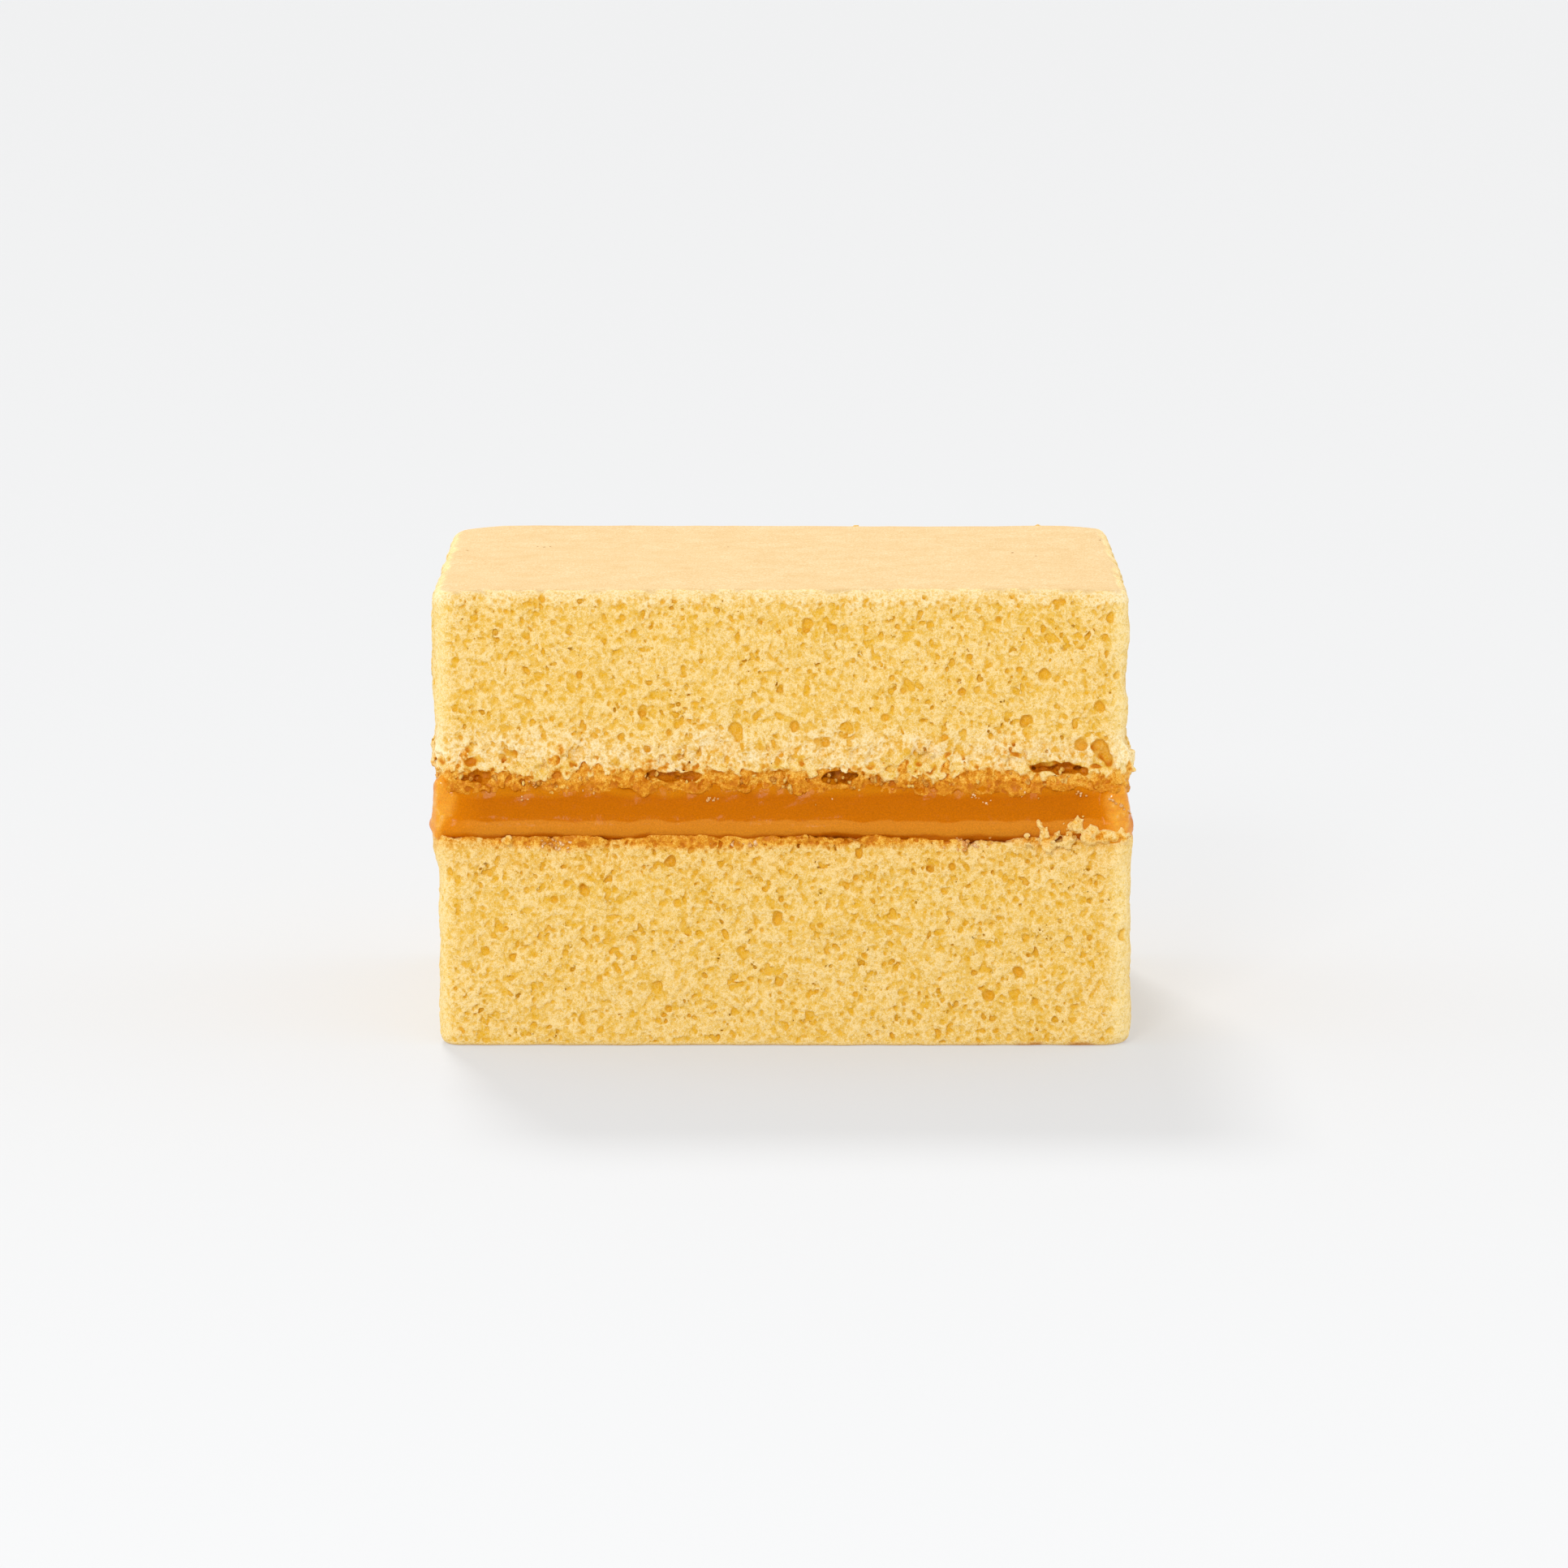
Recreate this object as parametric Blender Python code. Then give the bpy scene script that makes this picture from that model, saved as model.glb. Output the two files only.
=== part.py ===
"""A piece of chiffon cake: two sponge layers with a caramel filling between them.

Lengths are in metres, +Z is up, and the origin is the middle of the underside.
The front faces -Y. Every upright wall is laid out flat first, as a strip with the
distance along the outline across and the height up, and then wrapped round the cake.
"""

import math
import random
from collections import namedtuple

import bmesh
import bpy
from mathutils import Matrix, Vector, geometry, noise

MM = 0.001
SAME = 0.001 * MM  # lengths closer than this count as equal

# Driving dimensions
WIDTH = 89.4 * MM  # along X
DEPTH = 71.4 * MM  # along Y
HEIGHT = 59.5 * MM
FILLING_BOTTOM = 27.5 * MM
FILLING_TOP = 33.3 * MM
LAYER_GAP = 0.3 * MM  # touching layers keep this much apart
LOWER_SHIFT = 0.5 * MM  # the lower sponge sits this far to the right

# Rounded edges
FRONT_CORNER = 3.0 * MM  # upright corners, seen from above
BACK_CORNER = 4.2 * MM
TOP_EDGE = 1.8 * MM
FOOT_EDGE_SIDES = 2.4 * MM
FOOT_EDGE_FRONT = 0.9 * MM
FOOT_ROWS = (0.0, 0.12, 0.45, 1.0)  # heights of its rows of points, as shares of the larger radius
SHARP_FROM = math.radians(40)  # edges sharper than this are shaded sharp
INNER_EDGE = 0.4 * MM  # where a sponge meets the filling

# Unevenness
BROAD_SWELL, BROAD_WAVE = 0.28 * MM, 24.0 * MM
CRUMB_SWELL, CRUMB_WAVE = 0.3 * MM, 4.5 * MM
TOP_SWELL, TOP_WAVE = 0.25 * MM, 30.0 * MM
CORNER_DROOP, CORNER_REACH = 0.5 * MM, 8.0 * MM  # the top falls off at its corners
FRONT_DROOP_SHARE = 0.4
TORN_DEPTH, TORN_HEIGHT = 0.8 * MM, 2.4 * MM  # the rim that the filling has pulled at
TORN_WAVE = 2.5 * MM

# The filling's wall is drawn in under the upper sponge and swells to a lip below.
LIP_OUT, LIP_LEVEL = 0.55 * MM, 1.9 * MM
WALL_IN = 0.6 * MM
LIP_WAVE, LIP_WAVE_OUT, LIP_SAG = 13.0 * MM, 0.3 * MM, 0.5 * MM

# Spacing of the surface points
WALL_STEP = 3.0 * MM
TOP_STEP = 5.0 * MM
FILLING_STEP = 0.8 * MM
JITTER = 0.25  # share of the step

# Open pores, the largest only: count in each sponge, smallest and largest radius
LARGE_PORES, LARGE_RADII = 42, (0.5 * MM, 0.85 * MM)
SMALL_PORES, SMALL_RADII = 110, (0.32 * MM, 0.45 * MM)
PORE_SPACE = 0.5 * MM  # wall left between two pores
LARGE_SIDES, SMALL_SIDES, GAP_SIDES = 7, 5, 10
PIT_FLOOR = 0.6  # radius of a large pit's floor as a share of its rim

Pore = namedtuple("Pore", "along height half_width half_height depth sides")

# Gaps torn between the upper sponge and the filling. The four on the front are
# (place along X, height, half width, half height, depth), in millimetres.
FRONT_GAPS = (
    (-39.0, 35.1, 1.7, 0.8, 1.3),
    (-13.9, 35.3, 3.4, 0.8, 1.8),
    (7.6, 35.2, 3.0, 0.8, 2.0),
    (36.0, 36.4, 4.5, 0.8, 1.7),
)
GAPS_PER_OTHER_FACE = 4
GAP_SPREAD = 0.9  # share of a face's length that its gaps are strewn over
GAP_LEVELS = (35.1 * MM, 36.2 * MM)
GAP_HALF_WIDTHS, GAP_HALF_HEIGHTS = (1.5 * MM, 4.0 * MM), (0.7 * MM, 0.85 * MM)
GAP_DEPTHS = (1.3 * MM, 2.0 * MM)

SEEDS = {"sponge_bottom": 11, "caramel_filling": 23, "sponge_top": 37}
LEFT, FRONT, RIGHT, BACK = range(4)

# The outline seen from above, anticlockwise from the middle of the back:
# (length, radius of the turn), with 0 for a straight run
QUARTER = math.pi / 2
OUTLINE = (
    (WIDTH / 2 - BACK_CORNER, 0.0),
    (QUARTER * BACK_CORNER, BACK_CORNER),
    (DEPTH - BACK_CORNER - FRONT_CORNER, 0.0),
    (QUARTER * FRONT_CORNER, FRONT_CORNER),
    (WIDTH - 2 * FRONT_CORNER, 0.0),
    (QUARTER * FRONT_CORNER, FRONT_CORNER),
    (DEPTH - BACK_CORNER - FRONT_CORNER, 0.0),
    (QUARTER * BACK_CORNER, BACK_CORNER),
    (WIDTH / 2 - BACK_CORNER, 0.0),
)
AROUND = sum(length for length, radius in OUTLINE)


def clear_scene():
    for obj in list(bpy.data.objects):
        bpy.data.objects.remove(obj, do_unlink=True)


def swell(point, size, wavelength, seed):
    """A smooth random offset at a point, between -size and size."""
    return size * noise.noise(point / wavelength + Vector((seed, 0.5 * seed, 0.0)))


def smooth_step(value):
    value = min(1.0, max(0.0, value))
    return value * value * (3.0 - 2.0 * value)


def evenly(low, high, step):
    """Coordinates from low to high about one step apart, both ends included."""
    count = max(1, round((high - low) / step))
    return [low + (high - low) * i / count for i in range(count + 1)]


def edge_heights(radius):
    """Distances from the end of a rounded edge at which its rows of points go."""
    return [radius * (1.0 - math.sin(math.radians(angle))) for angle in (90, 58, 30, 0)]


def edge_inset(distance, radius):
    """How far a rounded edge draws the wall in at a distance from the edge's end."""
    left = min(radius, max(0.0, radius - distance))
    return radius - math.sqrt(radius**2 - left**2)


def outline(along):
    """The point at a distance along the outline and the outward direction there."""
    at = Vector((0.0, DEPTH / 2))
    heading = math.pi
    for length, radius in OUTLINE:
        step = min(along, length)
        if radius:
            centre = at + radius * Vector((-math.sin(heading), math.cos(heading)))
            heading += step / radius
            at = centre + radius * Vector((math.sin(heading), -math.cos(heading)))
        else:
            at = at + step * Vector((math.cos(heading), math.sin(heading)))
        along -= step
        if along < SAME:
            break
    return at, Vector((math.sin(heading), -math.cos(heading)))


def along_outline(face, offset):
    """The distance along the outline of a place on a face.

    The offset runs from the middle of the face to the right, seen from outside.
    """
    if face == BACK:
        return offset % AROUND
    run = 2 + 2 * face
    before = sum(length for length, radius in OUTLINE[:run])
    return before + OUTLINE[run][0] / 2 + offset


def columns():
    """Distances along the outline of the points in a row."""
    stops = [0.0]
    for length, radius in OUTLINE:
        step = length / 3 if radius else WALL_STEP
        stops += evenly(stops[-1], stops[-1] + length, step)[1:]
    return stops


def scatter_pores(name, low, high, gaps):
    """Pores strewn over a sponge's wall between two heights, clear of each other."""
    draw = random.Random(SEEDS[name])
    pores = list(gaps)
    kinds = (
        (LARGE_PORES, LARGE_RADII, LARGE_SIDES),
        (SMALL_PORES, SMALL_RADII, SMALL_SIDES),
    )
    for count, radii, sides in kinds:
        wanted = len(pores) + count
        while len(pores) < wanted:
            radius = draw.uniform(*radii)
            margin = radius + PORE_SPACE
            pore = Pore(
                draw.uniform(margin, AROUND - margin),
                draw.uniform(low + margin, high - margin),
                radius,
                radius * draw.uniform(0.9, 1.25),
                radius * draw.uniform(0.9, 1.3),
                sides,
            )
            if all(clear_of(pore, other) for other in pores):
                pores.append(pore)
    return pores


def clear_of(pore, other):
    across = abs(pore.along - other.along) - pore.half_width - other.half_width
    up = abs(pore.height - other.height) - pore.half_height - other.half_height
    return max(across, up) > PORE_SPACE


def torn_gaps(name):
    """The gaps over the filling: four placed on the front, the others strewn."""
    draw = random.Random(SEEDS[name] + 1)
    gaps = []
    for place, height, half_width, half_height, depth in FRONT_GAPS:
        along = along_outline(FRONT, place * MM)
        sizes = [size * MM for size in (height, half_width, half_height, depth)]
        gaps.append(Pore(along, *sizes, GAP_SIDES))
    for face, length in ((LEFT, DEPTH), (RIGHT, DEPTH), (BACK, WIDTH)):
        for i in range(GAPS_PER_OTHER_FACE):
            share = (i + draw.uniform(0.35, 0.65)) / GAPS_PER_OTHER_FACE - 0.5
            gaps.append(
                Pore(
                    along_outline(face, GAP_SPREAD * length * share),
                    draw.uniform(*GAP_LEVELS),
                    draw.uniform(*GAP_HALF_WIDTHS),
                    draw.uniform(*GAP_HALF_HEIGHTS),
                    draw.uniform(*GAP_DEPTHS),
                    GAP_SIDES,
                )
            )
    return gaps


def pore_points(pore, draw):
    """The points of a pore on the strip: (along, height, depth), the rim first."""
    points = []
    start = draw.uniform(0.0, math.tau)
    for i in range(pore.sides):
        angle = start + math.tau * i / pore.sides
        reach = draw.uniform(0.85, 1.15)
        across = math.cos(angle) * pore.half_width * reach
        up = math.sin(angle) * pore.half_height * reach
        points.append((pore.along + across, pore.height + up, 0.0))
    if pore.sides == SMALL_SIDES:
        return points + [(pore.along, pore.height, pore.depth)]
    for along, height, depth in list(points):
        across = PIT_FLOOR * (along - pore.along)
        up = PIT_FLOOR * (height - pore.height)
        floor = pore.depth * draw.uniform(0.85, 1.1)
        points.append((pore.along + across, pore.height + up, floor))
    return points


def strip_points(rows, pores, seed):
    """All the points of a wall's strip, and the pairs of them that pore rims join.

    The strip has full rows by its rounded edges. Over the widest space between two
    rows its points are strewn, except where pores open.
    """
    draw = random.Random(seed)
    points = [(along, height, 0.0) for height in rows for along in columns()]
    pairs = []
    for pore in pores:
        first = len(points)
        points += pore_points(pore, draw)
        pairs += [(first + i, first + (i + 1) % pore.sides) for i in range(pore.sides)]
    low, high = max(zip(rows, rows[1:]), key=lambda pair: pair[1] - pair[0])
    seam = 0.4 * WALL_STEP
    for number, height in enumerate(evenly(low, high, 0.87 * WALL_STEP)[1:-1]):
        points += [(0.0, height, 0.0), (AROUND, height, 0.0)]
        for place in evenly(0.0, AROUND, WALL_STEP)[:-1]:
            along = place + seam + WALL_STEP * (0.5 * (number % 2) + draw.uniform(-JITTER, JITTER))
            level = height + WALL_STEP * draw.uniform(-JITTER, JITTER)
            if not seam < along < AROUND - seam:
                continue
            if not any(is_over(along, level, pore) for pore in pores):
                points.append((along, level, 0.0))
    return points, pairs


def is_over(along, height, pore):
    margin = 0.35 * WALL_STEP
    across = (along - pore.along) / (pore.half_width + margin)
    up = (height - pore.height) / (pore.half_height + margin)
    return math.hypot(across, up) < 1.0


def wrap_wall(shell, rows, pores, place, seed):
    """Adds a wall to a shell and returns its lowest and its highest row of points.

    place(along, height, depth) gives the position of a point of the strip.
    """
    points, pairs = strip_points(rows, pores, seed)
    flat = [Vector(point[:2]) for point in points]
    result = geometry.delaunay_2d_cdt(flat, pairs, [], 0, SAME)
    origins = [sources[0] for sources in result[3]]
    corners = [shell.verts.new(place(*points[origin])) for origin in origins]
    for triangle in result[2]:
        shell.faces.new([corners[i] for i in triangle])
    by_origin = dict(zip(origins, corners))
    per_row = len(columns())
    last_row = (len(rows) - 1) * per_row
    return (
        [by_origin[i] for i in range(per_row - 1)],
        [by_origin[last_row + i] for i in range(per_row - 1)],
    )


def cap_top(shell, rim, height_at):
    """Closes a wall above its rim with an uneven surface."""
    draw = random.Random(len(rim))
    places = [vert.co.xy for vert in rim]
    count = len(places)
    clearance = 0.45 * TOP_STEP
    for x in evenly(-WIDTH / 2, WIDTH / 2, TOP_STEP):
        for y in evenly(-DEPTH / 2, DEPTH / 2, TOP_STEP):
            shift = [TOP_STEP * draw.uniform(-JITTER, JITTER) for axis in range(2)]
            place = Vector((x, y)) + Vector(shift)
            if min((place - other).length for other in places[:count]) < clearance:
                continue
            if abs(place.x) < WIDTH / 2 - TOP_EDGE and abs(place.y) < DEPTH / 2 - TOP_EDGE:
                places.append(place)
    pairs = [(i, (i + 1) % count) for i in range(count)]
    result = geometry.delaunay_2d_cdt(places, pairs, [], 1, SAME)
    corners = []
    for place, sources in zip(result[0], result[3]):
        if sources[0] < count:
            corners.append(rim[sources[0]])
        else:
            corners.append(shell.verts.new((place.x, place.y, height_at(place))))
    for triangle in result[2]:
        shell.faces.new([corners[i] for i in triangle])


def cake_material(name, colour, roughness):
    material = bpy.data.materials.new(name)
    material.use_nodes = True
    shader = material.node_tree.nodes["Principled BSDF"]
    shader.inputs["Base Color"].default_value = (*colour, 1.0)
    shader.inputs["Roughness"].default_value = roughness
    shader.inputs["Metallic"].default_value = 0.0
    return material


def node_from(shell, name, material):
    bmesh.ops.remove_doubles(shell, verts=shell.verts, dist=SAME)
    bmesh.ops.recalc_face_normals(shell, faces=shell.faces)
    mesh = bpy.data.meshes.new(name)
    shell.to_mesh(mesh)
    shell.free()
    mesh.shade_smooth()
    mesh.set_sharp_from_angle(angle=SHARP_FROM)
    mesh.materials.append(material)
    node = bpy.data.objects.new(name, mesh)
    bpy.context.scene.collection.objects.link(node)
    return node


def crumb_relief(point, seed):
    """The unevenness that every cut sponge wall has."""
    broad = swell(point, BROAD_SWELL, BROAD_WAVE, seed)
    return broad + swell(point, CRUMB_SWELL, CRUMB_WAVE, seed + 5)


def sponge_bottom(material):
    """The lower layer: flat below and above, rounded at the foot."""
    name = "sponge_bottom"
    top = FILLING_BOTTOM - LAYER_GAP
    foot = [FOOT_EDGE_SIDES * share for share in FOOT_ROWS]
    rows = foot + [top - 2.5 * INNER_EDGE, top - INNER_EDGE, top]

    def place(along, height, depth):
        at, outward = outline(along)
        inner = edge_inset(top - height, INNER_EDGE)
        sides = max(inner, edge_inset(height, FOOT_EDGE_SIDES))
        front = max(inner, edge_inset(height, FOOT_EDGE_FRONT))
        relief = crumb_relief(Vector((*at, height)), SEEDS[name])
        relief -= outward.x**2 * sides + outward.y**2 * front + depth
        at = at + outward * relief
        return at.x + LOWER_SHIFT, at.y, height

    shell = bmesh.new()
    pores = scatter_pores(name, foot[-1], rows[-3], [])
    below, above = wrap_wall(shell, rows, pores, place, SEEDS[name])
    shell.faces.new(below)
    shell.faces.new(above)
    return node_from(shell, name, material)


def caramel_filling(material):
    """The filling, which runs through the cake and swells to a soft lip all round."""
    name = "caramel_filling"
    thickness = FILLING_TOP - FILLING_BOTTOM

    def place(along, height):
        at, outward = outline(along)
        level = Vector((*at, 0.0))
        over = height - FILLING_BOTTOM
        if over < LIP_LEVEL:
            profile = LIP_OUT * math.sqrt(1.0 - (1.0 - over / LIP_LEVEL) ** 2)
        else:
            rise = (over - LIP_LEVEL) / (thickness - LIP_LEVEL)
            profile = LIP_OUT - (LIP_OUT + WALL_IN) * smooth_step(rise)
        at = at + outward * (profile + swell(level, LIP_WAVE_OUT, LIP_WAVE, SEEDS[name]))
        inside = min(over, thickness - over) / LIP_LEVEL
        sag = smooth_step(2 * inside) * swell(level, LIP_SAG, LIP_WAVE, SEEDS[name] + 3)
        return at.x, at.y, height + sag

    shell = bmesh.new()
    rows = evenly(FILLING_BOTTOM, FILLING_TOP, FILLING_STEP)
    stops = columns()
    grid = [[shell.verts.new(place(x, z)) for x in stops] for z in rows]
    for lower, upper in zip(grid, grid[1:]):
        for i in range(len(stops) - 1):
            shell.faces.new((lower[i], lower[i + 1], upper[i + 1], upper[i]))
    shell.faces.new(grid[0][:-1])
    shell.faces.new(grid[-1][:-1])
    return node_from(shell, name, material)


def sponge_top(material):
    """The upper layer: a torn lower rim, rounded upper edges and a gently uneven top."""
    name = "sponge_top"
    low = FILLING_TOP + LAYER_GAP
    crown = [HEIGHT - distance for distance in edge_heights(TOP_EDGE)[::-1]]
    rows = [low, low + INNER_EDGE, *crown]
    gaps = torn_gaps(name)

    def height_at(place):
        corner = math.hypot(WIDTH / 2 - abs(place.x), DEPTH / 2 - abs(place.y))
        droop = CORNER_DROOP * (1.0 - smooth_step(corner / CORNER_REACH))
        if place.y < 0:
            droop *= FRONT_DROOP_SHARE
        level = Vector((place.x, place.y, 0.0))
        return HEIGHT + swell(level, TOP_SWELL, TOP_WAVE, SEEDS[name] + 2) - droop

    def place(along, height, depth):
        at, outward = outline(along)
        point = Vector((*at, height))
        inset = max(edge_inset(HEIGHT - height, TOP_EDGE), edge_inset(height - low, INNER_EDGE))
        torn = 1.0 - smooth_step((height - low) / TORN_HEIGHT)
        ragged = 0.5 + swell(point, 0.5, TORN_WAVE, SEEDS[name] + 9)
        relief = crumb_relief(point, SEEDS[name]) - torn * ragged * TORN_DEPTH
        at = at + outward * (relief - inset - depth)
        rise = smooth_step(1.0 - (HEIGHT - height) / (4 * TOP_EDGE))
        return at.x, at.y, height + rise * (height_at(at) - HEIGHT)

    shell = bmesh.new()
    pores = scatter_pores(name, low + TORN_HEIGHT, crown[0], gaps)
    below, above = wrap_wall(shell, rows, pores, place, SEEDS[name])
    shell.faces.new(below)
    cap_top(shell, above, height_at)
    return node_from(shell, name, material)


def centre_on_origin(nodes):
    """Shifts all the nodes alike, so that the origin is the middle of the underside."""
    corners = [vert.co for node in nodes for vert in node.data.vertices]
    middle = [(min(c[i] for c in corners) + max(c[i] for c in corners)) / 2 for i in (0, 1)]
    floor = min(corner.z for corner in corners)
    shift = Matrix.Translation((-middle[0], -middle[1], -floor))
    for node in nodes:
        node.data.transform(shift)


def main():
    clear_scene()
    crumb = cake_material("sponge_crumb", (0.90, 0.60, 0.19), 0.85)
    caramel = cake_material("caramel", (0.58, 0.16, 0.01), 0.3)
    centre_on_origin([sponge_bottom(crumb), caramel_filling(caramel), sponge_top(crumb)])


main()
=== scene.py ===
"""The look of the chiffon cake: crumb, caramel, loose crumbs, floor, light and camera.

Shapes are worked out in millimetres in the part's own coordinates, with +Z up and the
front facing -Y, and turned into metres when a mesh is made. Each sponge layer is a
field of signed distances on a grid of points: a rounded block with the solid's own
relief, hollowed by bubbles, and its surface becomes the piece.
"""

import math
import random
from collections import namedtuple
from itertools import product

import bpy
import numpy as np
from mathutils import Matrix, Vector, noise


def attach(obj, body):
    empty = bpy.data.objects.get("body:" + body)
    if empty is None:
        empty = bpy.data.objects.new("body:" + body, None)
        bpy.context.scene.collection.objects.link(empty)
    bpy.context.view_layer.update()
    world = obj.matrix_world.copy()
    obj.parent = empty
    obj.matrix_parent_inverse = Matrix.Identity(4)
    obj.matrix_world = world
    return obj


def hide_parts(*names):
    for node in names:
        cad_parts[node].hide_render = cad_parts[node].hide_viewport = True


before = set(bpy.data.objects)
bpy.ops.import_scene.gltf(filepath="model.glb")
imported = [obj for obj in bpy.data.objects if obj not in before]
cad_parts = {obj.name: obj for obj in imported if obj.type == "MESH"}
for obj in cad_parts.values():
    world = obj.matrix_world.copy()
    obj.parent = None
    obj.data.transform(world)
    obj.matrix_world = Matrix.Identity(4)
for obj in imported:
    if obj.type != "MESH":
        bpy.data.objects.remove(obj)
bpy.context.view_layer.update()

MM = 0.001
COARSER = 1.0

# The solid's dimensions, as the part has them
WIDTH, DEPTH, HEIGHT = 89.4, 71.4, 59.5
FILLING_BOTTOM, FILLING_TOP = 27.5, 33.3
LAYER_GAP = 0.3
LOWER_SHIFT = 0.5
FRONT_CORNER, BACK_CORNER = 3.0, 4.2
TOP_EDGE, FOOT_EDGE_SIDES, FOOT_EDGE_FRONT, INNER_EDGE = 1.8, 2.4, 0.9, 0.4
BROAD_SWELL, BROAD_WAVE = 0.28, 24.0
CRUMB_SWELL, CRUMB_WAVE = 0.3, 4.5
TOP_SWELL, TOP_WAVE = 0.25, 30.0
CORNER_DROOP, CORNER_REACH, FRONT_DROOP_SHARE = 0.5, 8.0, 0.4
SEEDS = {"sponge_bottom": 11, "caramel_filling": 23, "sponge_top": 37}
CAD_SHIFT = (-0.0427, -0.0367, 0.0)  # from the middle of the plan to the box's middle

QUARTER = math.pi / 2
HALF_OUTLINE = (
    (WIDTH / 2 - BACK_CORNER, 0.0),
    (QUARTER * BACK_CORNER, BACK_CORNER),
    (DEPTH - BACK_CORNER - FRONT_CORNER, 0.0),
    (QUARTER * FRONT_CORNER, FRONT_CORNER),
)
OUTLINE = (*HALF_OUTLINE, (WIDTH - 2 * FRONT_CORNER, 0.0), *HALF_OUTLINE[::-1])
AROUND = sum(length for length, radius in OUTLINE)

# The solids' largest pores and the gaps torn over the filling, each gap as a Pore has it:
# place from the face's middle, height, half width, half height and depth
PORES = (42, (0.5, 0.85)), (110, (0.32, 0.45))  # how many, and their radii
PORE_SPACE = 0.5
FRONT_GAPS = (
    (-39.0, 35.1, 1.7, 0.8, 1.3),
    (-13.9, 35.3, 3.4, 0.8, 1.8),
    (7.6, 35.2, 3.0, 0.8, 2.0),
    (36.0, 36.4, 4.5, 0.8, 1.7),
)
GAPS_PER_OTHER_FACE, GAP_SPREAD = 4, 0.9
GAP_SIZES = (35.1, 36.2), (1.5, 4.0), (0.7, 0.85), (1.3, 2.0)  # in a Pore's order
TORN_HEIGHT = 2.4
AMBER_HOLLOWS = (  # small hollows by the filling that the solids don't have
    (40.8, 39.3, 0.7, 0.9, 0.7),
    (41.6, 38.2, 0.6, 1.1, 0.75),
    (42.3, 37.3, 0.5, 0.7, 0.6),
    (-34.2, 37.7, 0.5, 0.8, 0.6),
    (-39.9, 37.2, 1.2, 0.5, 0.6),
)
# Shards of the lower sponge that stand up in front of the filling: place, height, half
# width, half height and lean
SHARDS = (
    (33.3, 28.4, 0.6, 1.0, -0.3),
    (33.9, 26.9, 0.85, 1.2, -0.2),
    (35.1, 28.0, 0.45, 0.8, 0.5),
    (36.6, 27.4, 0.9, 1.2, 0.4),
    (37.5, 28.8, 0.8, 1.2, 0.3),
    (39.7, 28.0, 0.6, 0.8, 0.2),
    (39.3, 27.1, 1.2, 0.8, 0.0),
    (41.8, 27.6, 1.7, 0.9, 0.0),
    (43.6, 27.5, 0.8, 0.8, 0.0),
    (31.4, 27.0, 0.45, 0.8, 0.1),
    (-35.5, 26.9, 0.7, 0.7, 0.0),
)
SHARD_OUT, SHARD_HALF_DEPTH = 0.25, 0.8
SHARD_ROUGH, SHARD_GRAIN = 0.11, 0.12
LEFT, FRONT, RIGHT, BACK = range(4)
Pore = namedtuple("Pore", "along height half_width half_height depth")
OUTLINE_STEP = 0.25


def outline(along):
    """The point at a distance along the outline and the outward direction there."""
    along, at = float(along), Vector((0.0, DEPTH / 2))
    heading = math.pi
    for length, radius in OUTLINE:
        step = min(along, length)
        if radius:
            centre = at + radius * Vector((-math.sin(heading), math.cos(heading)))
            heading += step / radius
            at = centre + radius * Vector((math.sin(heading), -math.cos(heading)))
        else:
            at = at + step * Vector((math.cos(heading), math.sin(heading)))
        along -= step
        if along < 1e-6:
            break
    return at, Vector((math.sin(heading), -math.cos(heading)))


STOPS = np.arange(0.0, AROUND, OUTLINE_STEP)
OUTLINE_AT = np.array([[*outline(s)[0], *outline(s)[1]] for s in (*STOPS, 0.0)])


def between(table, place, last=False):
    """A table read between its whole places, along its first axis or its last."""
    low = np.floor(place).astype(int)
    share = place - low
    if last:
        return table[..., low] * (1 - share) + table[..., low + 1] * share
    share = share[..., None]
    return table[low] * (1 - share) + table[low + 1] * share


def on_outline(along):
    """Points and outward directions at many distances along the outline."""
    mixed = between(OUTLINE_AT, np.mod(along, AROUND) / OUTLINE_STEP)
    return mixed[:, :2], mixed[:, 2:]


def along_outline(face, offset):
    """The distance along the outline of a place on a face, from the face's middle."""
    if face == BACK:
        return offset % AROUND
    run = 2 + 2 * face
    return sum(length for length, radius in OUTLINE[:run]) + OUTLINE[run][0] / 2 + offset


def front_along(x):
    """How far along the outline a place on the front is."""
    return AROUND / 2 + x


def front_pores(rows):
    return [Pore(along_outline(FRONT, place), *sizes) for place, *sizes in rows]


def torn_gaps(name):
    """The gaps over the filling, where the solid has them."""
    draw = random.Random(SEEDS[name] + 1)
    gaps = front_pores(FRONT_GAPS)
    for face, length in ((LEFT, DEPTH), (RIGHT, DEPTH), (BACK, WIDTH)):
        for i in range(GAPS_PER_OTHER_FACE):
            share = (i + draw.uniform(0.35, 0.65)) / GAPS_PER_OTHER_FACE - 0.5
            sizes = [draw.uniform(*span) for span in GAP_SIZES]
            gaps.append(Pore(along_outline(face, GAP_SPREAD * length * share), *sizes))
    return gaps


def clear_of(pore, other):
    """Whether two pores leave enough crumb between them."""
    across = abs(pore.along - other.along) - pore.half_width - other.half_width
    up = abs(pore.height - other.height) - pore.half_height - other.half_height
    return max(across, up) > PORE_SPACE


def scatter_pores(name, low, high, gaps):
    """The largest pores of a sponge, where the solid has them."""
    draw = random.Random(SEEDS[name])
    pores = list(gaps)
    for count, radii in PORES:
        wanted = len(pores) + count
        while len(pores) < wanted:
            radius = draw.uniform(*radii)
            margin = radius + PORE_SPACE
            pore = Pore(
                draw.uniform(margin, AROUND - margin),
                draw.uniform(low + margin, high - margin),
                radius,
                radius * draw.uniform(0.9, 1.25),
                radius * draw.uniform(0.9, 1.3),
            )
            if all(clear_of(pore, other) for other in pores):
                pores.append(pore)
    return pores


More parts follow.
